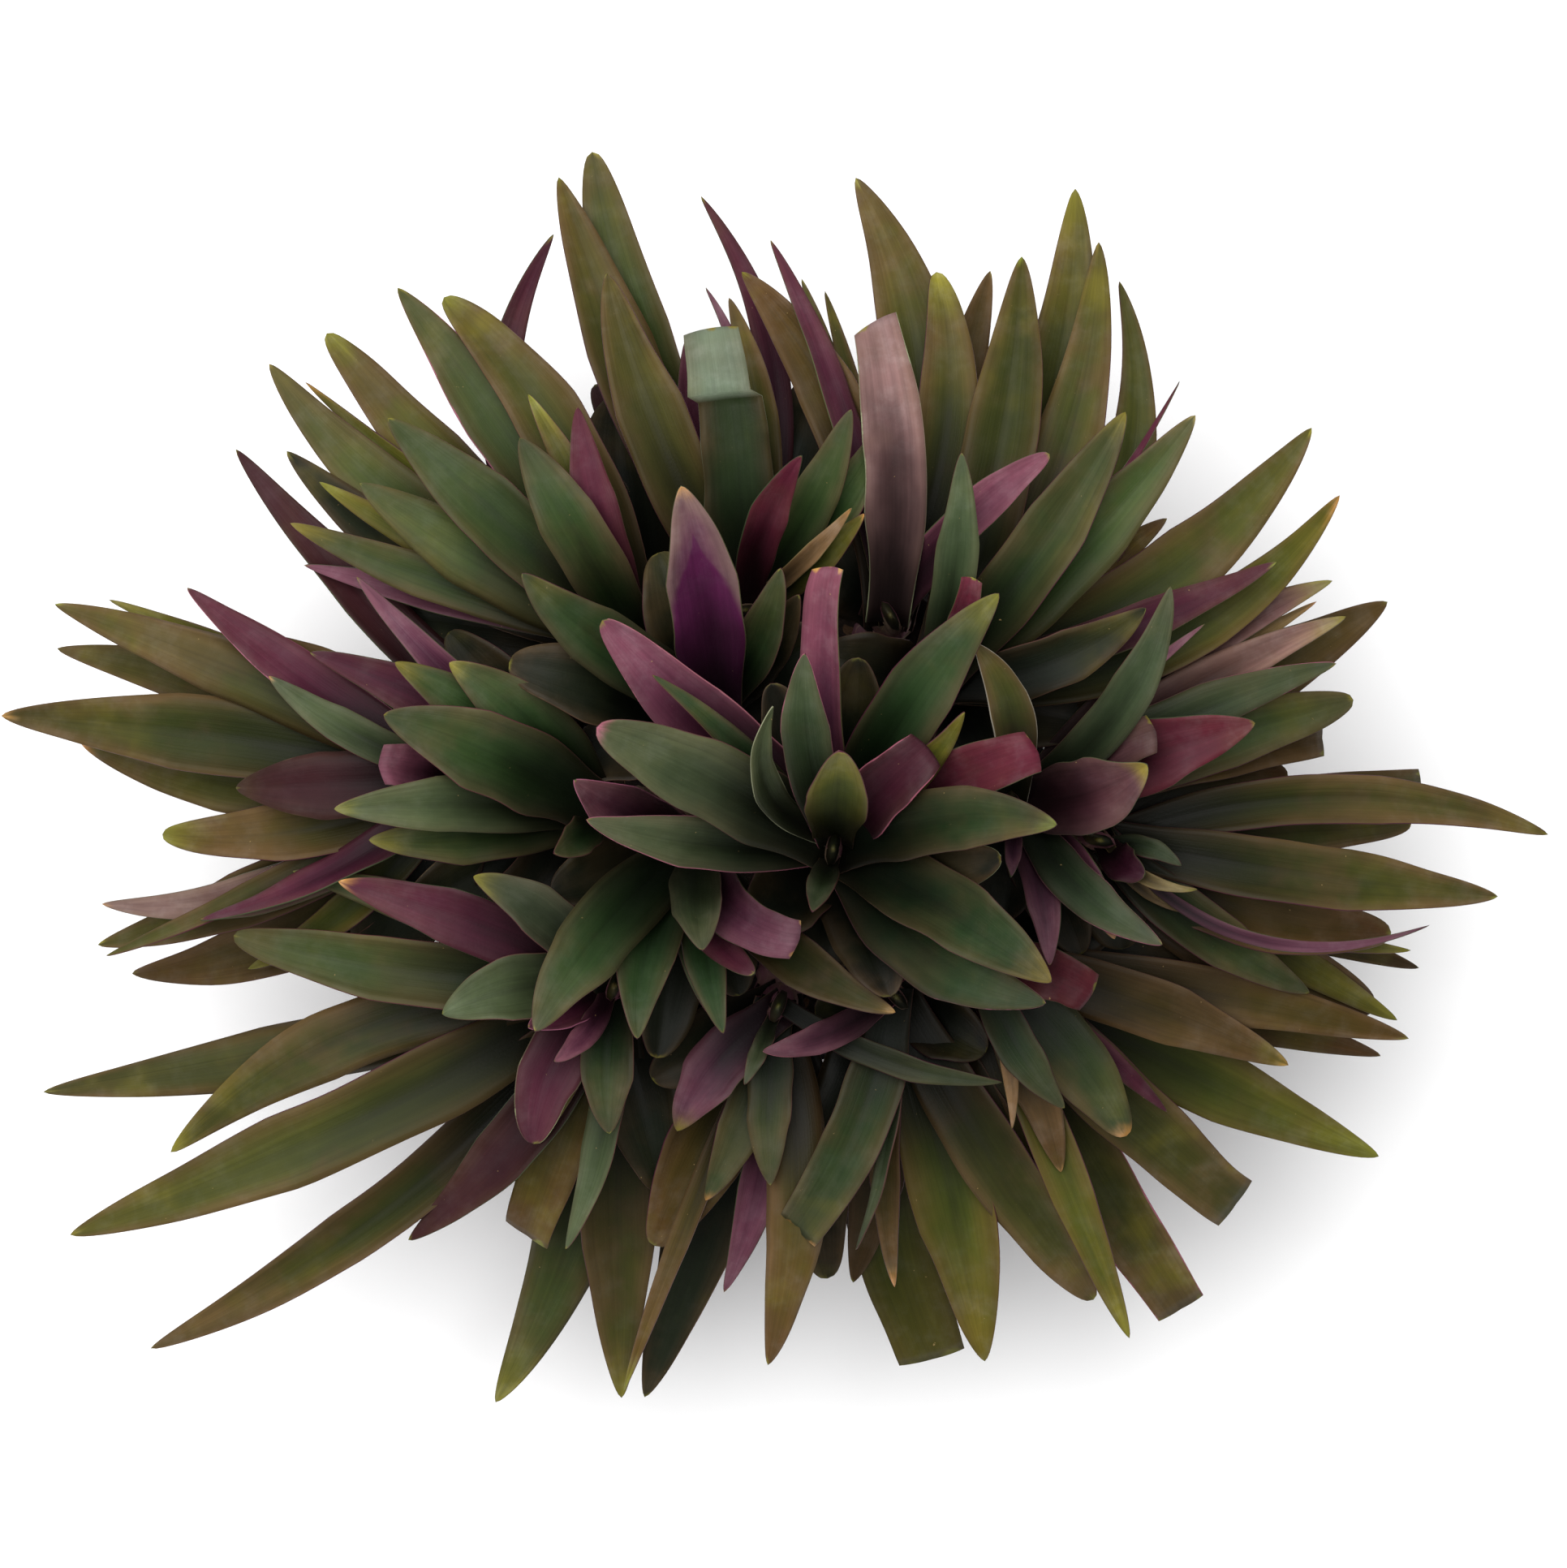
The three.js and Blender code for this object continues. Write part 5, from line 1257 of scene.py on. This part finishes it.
def upper_finish(colours):
    """The side of a leaf that faces up: a bright middle, a cast at the edges, a tip, a rim and a
    painted sheen, and painted shade at its foot and deep in the clump.
    """
    finish = Finish("leaf_upper")
    y, across, bent, blotch, lines = leaf_grain(finish)
    blade, _ = finish.paint("blade")
    stripe, stripe_share = finish.paint("stripe")
    tip, tip_reach = finish.paint("tip")
    rim, rim_share = finish.paint("rim")
    _, cast_share = finish.paint("back")

    # a cast towards the edges, and a stripe along the middle or a patch over the lower part
    cast = finish.math("MULTIPLY", finish.ramp(bent, 0.35, 1.15), cast_share)
    colour = finish.mix(cast, blade, (*colours.margin, 1))
    along = finish.math("MULTIPLY_ADD", finish.math("SUBTRACT", blotch, 0.5), 0.6, y)
    middle = finish.math("MULTIPLY", finish.ramp(bent, 1.1, 0.15), finish.ramp(along, 1.0, 0.35))
    middle = finish.math("MULTIPLY", middle, finish.ramp(stripe_share, 0.0, 1.0))
    low = finish.math("ADD", y, finish.math("MULTIPLY", bent, 0.3))
    patch = finish.math("MULTIPLY", finish.ramp(low, 0.72, 0.62), finish.ramp(stripe_share, 1.2, 1.4))
    colour = finish.mix(finish.math("MAXIMUM", middle, patch), colour, stripe)

    # yellow and brown blotches of age
    warm = finish.noise(finish.place(), 34.0, 3.0)
    warm = finish.math("MULTIPLY", finish.ramp(warm, 0.5, 0.72), finish.ramp(y, 0.3, 0.9))
    warm = finish.math("MULTIPLY", warm, finish.math("MULTIPLY", cast_share, 0.7))
    colour = finish.mix(warm, colour, (*colours.yellow, 1))
    bronze = finish.noise(finish.place(), 21.0, 4.0, 0.6)
    bronze = finish.math("MULTIPLY", finish.ramp(bronze, 0.48, 0.66), cast_share)
    colour = finish.mix(finish.math("MULTIPLY", bronze, 0.7), colour, (*colours.margin, 1))

    # the coloured tip
    start = finish.math("SUBTRACT", 1.0, finish.math("MULTIPLY", tip_reach, 1.3))
    ripe = finish.math("ADD", y, finish.math("MULTIPLY_ADD", blotch, 0.2, -0.1))
    colour = finish.mix(finish.ramp(ripe, start, 1.02), colour, tip)

    # darker lines and blotches, painted shade over a leaf's foot deep in the shoot, darkest along its
    # middle, and painted shade deep in the clump
    shade = finish.math("MULTIPLY_ADD", lines, 0.7, 0.65)
    rise = finish.math("ADD", y, finish.math("MULTIPLY", bent, 0.22))
    dark = finish.math("MULTIPLY", shade, finish.ramp(rise, 0.12, 0.82, 0.12, 1.0))
    dark = finish.math("MULTIPLY", dark, finish.math("MULTIPLY_ADD", blotch, 1.1, 0.45))
    dark = finish.math("MULTIPLY", dark, depth_shade(finish))
    colour = finish.dimmed(colour, dark)

    # a dusty film, worn off in places, that is also a painted sheen: paler and greyer
    dust_and_sheen = finish.noise(finish.place(), 90.0, 4.0, 0.65)
    dust_and_sheen = finish.math("MULTIPLY", finish.ramp(dust_and_sheen, 0.42, 0.75, 0, 0.38), finish.ramp(y, 0.2, 0.8))
    dull = finish.node("ShaderNodeHueSaturation", (None, 0.62, 1.7, None, colour)).outputs[0]
    colour = finish.mix(dust_and_sheen, colour, dull)

    # the rim, a painted highlight along the edge or the leaf's own pink margin, and a few dry flecks
    edge = finish.math("MULTIPLY", finish.ramp(across, 0.955, 0.99), rim_share)
    edge = finish.math("MULTIPLY", edge, finish.ramp(dust_and_sheen, 0.06, 0.19, 0.2, 1.0))
    colour = finish.mix(edge, colour, rim)
    fleck = finish.noise(finish.place(), 420.0, 2.0, 0.7)
    colour = finish.mix(finish.ramp(fleck, 0.75, 0.8, 0, 0.5), colour, (*colours.straw, 1))

    # relief of the lines and the skin's cells
    cells = finish.noise(finish.place(), 900.0, 2.0)
    height = finish.math("MULTIPLY_ADD", lines, 1.0, finish.math("MULTIPLY", cells, 0.35))
    roughness = finish.math("MULTIPLY_ADD", blotch, 0.25, 0.38)
    finish.surface.inputs["Specular IOR Level"].default_value = LEAF_SHINE
    return finish.coated(colour, roughness, height, 0.25 * MM)


def under_finish(colours):
    """The side of a leaf that faces down: one colour with a paler middle and fine lines, painted
    shade deep in the clump and a rim.
    """
    finish = Finish("leaf_under")
    y, across, bent, blotch, lines = leaf_grain(finish)
    back, _ = finish.paint("back")
    rim, rim_share = finish.paint("rim")
    pale = finish.mix(0.25, back, (*colours.mauve, 1))
    colour = finish.mix(finish.ramp(bent, 0.4, 0.05, 0, 0.7), back, pale)
    finish.surface.inputs["Specular IOR Level"].default_value = LEAF_SHINE
    # fine lines, and painted shade deep in the clump
    shade = finish.math("MULTIPLY_ADD", lines, 0.5, 0.75)
    shade = finish.math("MULTIPLY", shade, depth_shade(finish))
    colour = finish.dimmed(colour, shade)
    # the rim: a painted highlight along the edge, or the leaf's own pink margin
    edge = finish.math("MULTIPLY", finish.ramp(across, 0.93, 0.985), rim_share)
    colour = finish.mix(edge, colour, rim)
    roughness = finish.math("MULTIPLY_ADD", blotch, 0.2, 0.4)
    return finish.coated(colour, roughness, lines, 0.25 * MM)


def stem_finish(colours):
    """Fleshy stem wrapped in old sheaths: brown lines over green and purple."""
    finish = Finish("stem_skin")
    _, _, _, blotch, lines = leaf_grain(finish)
    colour = finish.mix(finish.ramp(blotch, 0.4, 0.6), (*colours.stem, 1), (*colours.purple, 1))
    colour = finish.mix(finish.ramp(lines, 0.55, 0.8), colour, (*colours.straw, 1))
    roughness = finish.math("MULTIPLY_ADD", lines, 0.2, 0.5)
    return finish.coated(colour, roughness, lines, 0.4 * MM)


def pot_finish(colours):
    """Moulded charcoal plastic with a fine grain, scuffs and dried water marks."""
    finish = Finish("pot_plastic")
    place = finish.place()
    grain = finish.noise(place, 1400.0, 2.0)
    scuff = finish.noise(finish.scaled(place, (1, 1, 6)), 60.0, 5.0, 0.7)
    dust = finish.noise(finish.scaled(place, (1, 1, 0.35)), 38.0, 4.0, 0.6)
    _, _, z = finish.node("ShaderNodeSeparateXYZ", (place,)).outputs
    low = finish.ramp(z, 0.06, 0.0, 0.15, 0.5)
    marks = finish.math("MULTIPLY", finish.ramp(dust, 0.45, 0.75), low)
    colour = finish.mix(marks, (*colours.pot, 1), (*WATER_MARK, 1))
    colour = finish.mix(finish.ramp(scuff, 0.62, 0.7, 0, 0.25), colour, (*SCUFF, 1))
    roughness = finish.math("MULTIPLY_ADD", scuff, 0.3, 0.32)
    return finish.coated(colour, roughness, grain, 0.12 * MM)


def soil_finish(colours):
    """Moist potting mix: dark crumbs, a few paler bits of bark."""
    finish = Finish("soil_crumbs")
    place = finish.place()
    crumb = finish.noise(place, 260.0, 6.0, 0.7)
    patch = finish.noise(place, 40.0, 3.0)
    bark = finish.noise(place, 130.0, 1.0)
    dark = tuple(c * 0.35 for c in colours.soil)
    colour = finish.mix(finish.ramp(crumb, 0.35, 0.65), (*dark, 1), (*colours.soil, 1))
    colour = finish.mix(finish.ramp(bark, 0.66, 0.7), colour, (*BARK, 1))
    roughness = finish.math("MULTIPLY_ADD", patch, 0.25, 0.72)
    return finish.coated(colour, roughness, crumb, 1.2 * MM, 0.9)


# ------------------------------------------------------------------------------------- stage


def lay_floor(colours):
    """A wide pale floor."""
    bm = bmesh.new()
    bmesh.ops.create_grid(bm, x_segments=1, y_segments=1, size=FLOOR_SIZE)
    finish = Finish("floor_paint")
    place = finish.place()
    soft = finish.noise(place, 3.0, 2.0)
    shade = finish.ramp(soft, 0.2, 0.8, 0.985, 1.0)
    colour = finish.dimmed((*colours.floor, 1), shade)
    piece_from(bm, "floor", [finish.coated(colour, 0.9, soft, 0.01 * MM)])


def hang_light(name, place, spread, strength):
    """Soft light from a wide patch of sky in that direction."""
    lamp = bpy.data.lights.new(name, "SUN")
    lamp.angle = math.radians(spread)
    lamp.energy = strength
    hung = bpy.data.objects.new(name, lamp)
    hung.location = place
    aim = Vector((0, 0, VIEW_HEIGHT * MM)) - hung.location
    hung.rotation_euler = aim.to_track_quat("-Z", "Y").to_euler()
    bpy.context.scene.collection.objects.link(hung)


def set_camera():
    """Looks straight down through a long lens."""
    lens = bpy.data.cameras.new("camera")
    lens.sensor_width = SENSOR
    lens.lens = SENSOR * CAMERA_DISTANCE / FRAME_WIDTH
    lens.clip_end = CAMERA_REACH
    camera = bpy.data.objects.new("camera", lens)
    camera.location = Vector((*VIEW_CENTRE, VIEW_HEIGHT + CAMERA_DISTANCE)) * MM
    bpy.context.scene.collection.objects.link(camera)
    bpy.context.scene.camera = camera


def set_world(strength):
    """Even white light from all round."""
    world = bpy.data.worlds.new("studio")
    world.use_nodes = True
    sky = world.node_tree.nodes["Background"]
    sky.inputs["Color"].default_value = (1, 1, 1, 1)
    sky.inputs["Strength"].default_value = strength
    bpy.context.scene.world = world


# --------------------------------------------------------------------------------- operators


class OYSTER_OT_shoots(bpy.types.Operator):
    """Grow the leafy shoots"""

    bl_idname = "oyster.shoots"
    bl_label = "Leafy shoots"

    def execute(self, context):
        sizes = context.scene.oyster_sizes
        colours = context.scene.oyster_colours
        stem = stem_finish(colours)
        materials = [upper_finish(colours), under_finish(colours), stem, stem]
        for name, shoot in SHOOTS.items():
            grow_shoot(name, shoot, sizes, colours, materials)
        return {"FINISHED"}


class OYSTER_OT_pot(bpy.types.Operator):
    """Mould the pot"""

    bl_idname = "oyster.pot"
    bl_label = "Pot"

    def execute(self, context):
        mould_pot([pot_finish(context.scene.oyster_colours)])
        return {"FINISHED"}


class OYSTER_OT_soil(bpy.types.Operator):
    """Fill the pot with soil"""

    bl_idname = "oyster.soil"
    bl_label = "Soil"

    def execute(self, context):
        fill_soil(context.scene.oyster_sizes, [soil_finish(context.scene.oyster_colours)])
        return {"FINISHED"}


class OYSTER_OT_stage(bpy.types.Operator):
    """Set the floor, the lights and the camera"""

    bl_idname = "oyster.stage"
    bl_label = "Stage"

    def execute(self, context):
        lay_floor(context.scene.oyster_colours)
        set_world(WORLD_STRENGTH)
        hang_light("key", KEY_PLACE, KEY_SPREAD, KEY_STRENGTH)
        set_camera()
        context.scene.view_settings.view_transform = "Standard"
        return {"FINISHED"}


class OYSTER_PT_panel(bpy.types.Panel):
    """Builds the plant piece by piece"""

    bl_idname = "OYSTER_PT_panel"
    bl_label = "Oyster Plant"
    bl_space_type = "VIEW_3D"
    bl_region_type = "UI"
    bl_category = "Oyster Plant"

    def draw(self, context):
        for operator in OPERATORS:
            self.layout.operator(operator.bl_idname)
        for group in (context.scene.oyster_sizes, context.scene.oyster_colours):
            for key in group.__annotations__:
                self.layout.prop(group, key)


OPERATORS = (OYSTER_OT_stage, OYSTER_OT_pot, OYSTER_OT_soil, OYSTER_OT_shoots)
CLASSES = (PlantSizes, PlantColours, *OPERATORS, OYSTER_PT_panel)


def register():
    for cls in CLASSES:
        bpy.utils.register_class(cls)
    bpy.types.Scene.oyster_sizes = PointerProperty(type=PlantSizes)
    bpy.types.Scene.oyster_colours = PointerProperty(type=PlantColours)


def unregister():
    del bpy.types.Scene.oyster_colours
    del bpy.types.Scene.oyster_sizes
    for cls in reversed(CLASSES):
        bpy.utils.unregister_class(cls)


def main():
    register()
    bpy.ops.oyster.stage()
    bpy.ops.oyster.pot()
    bpy.ops.oyster.soil()
    bpy.ops.oyster.shoots()


if __name__ == "__main__":
    main()
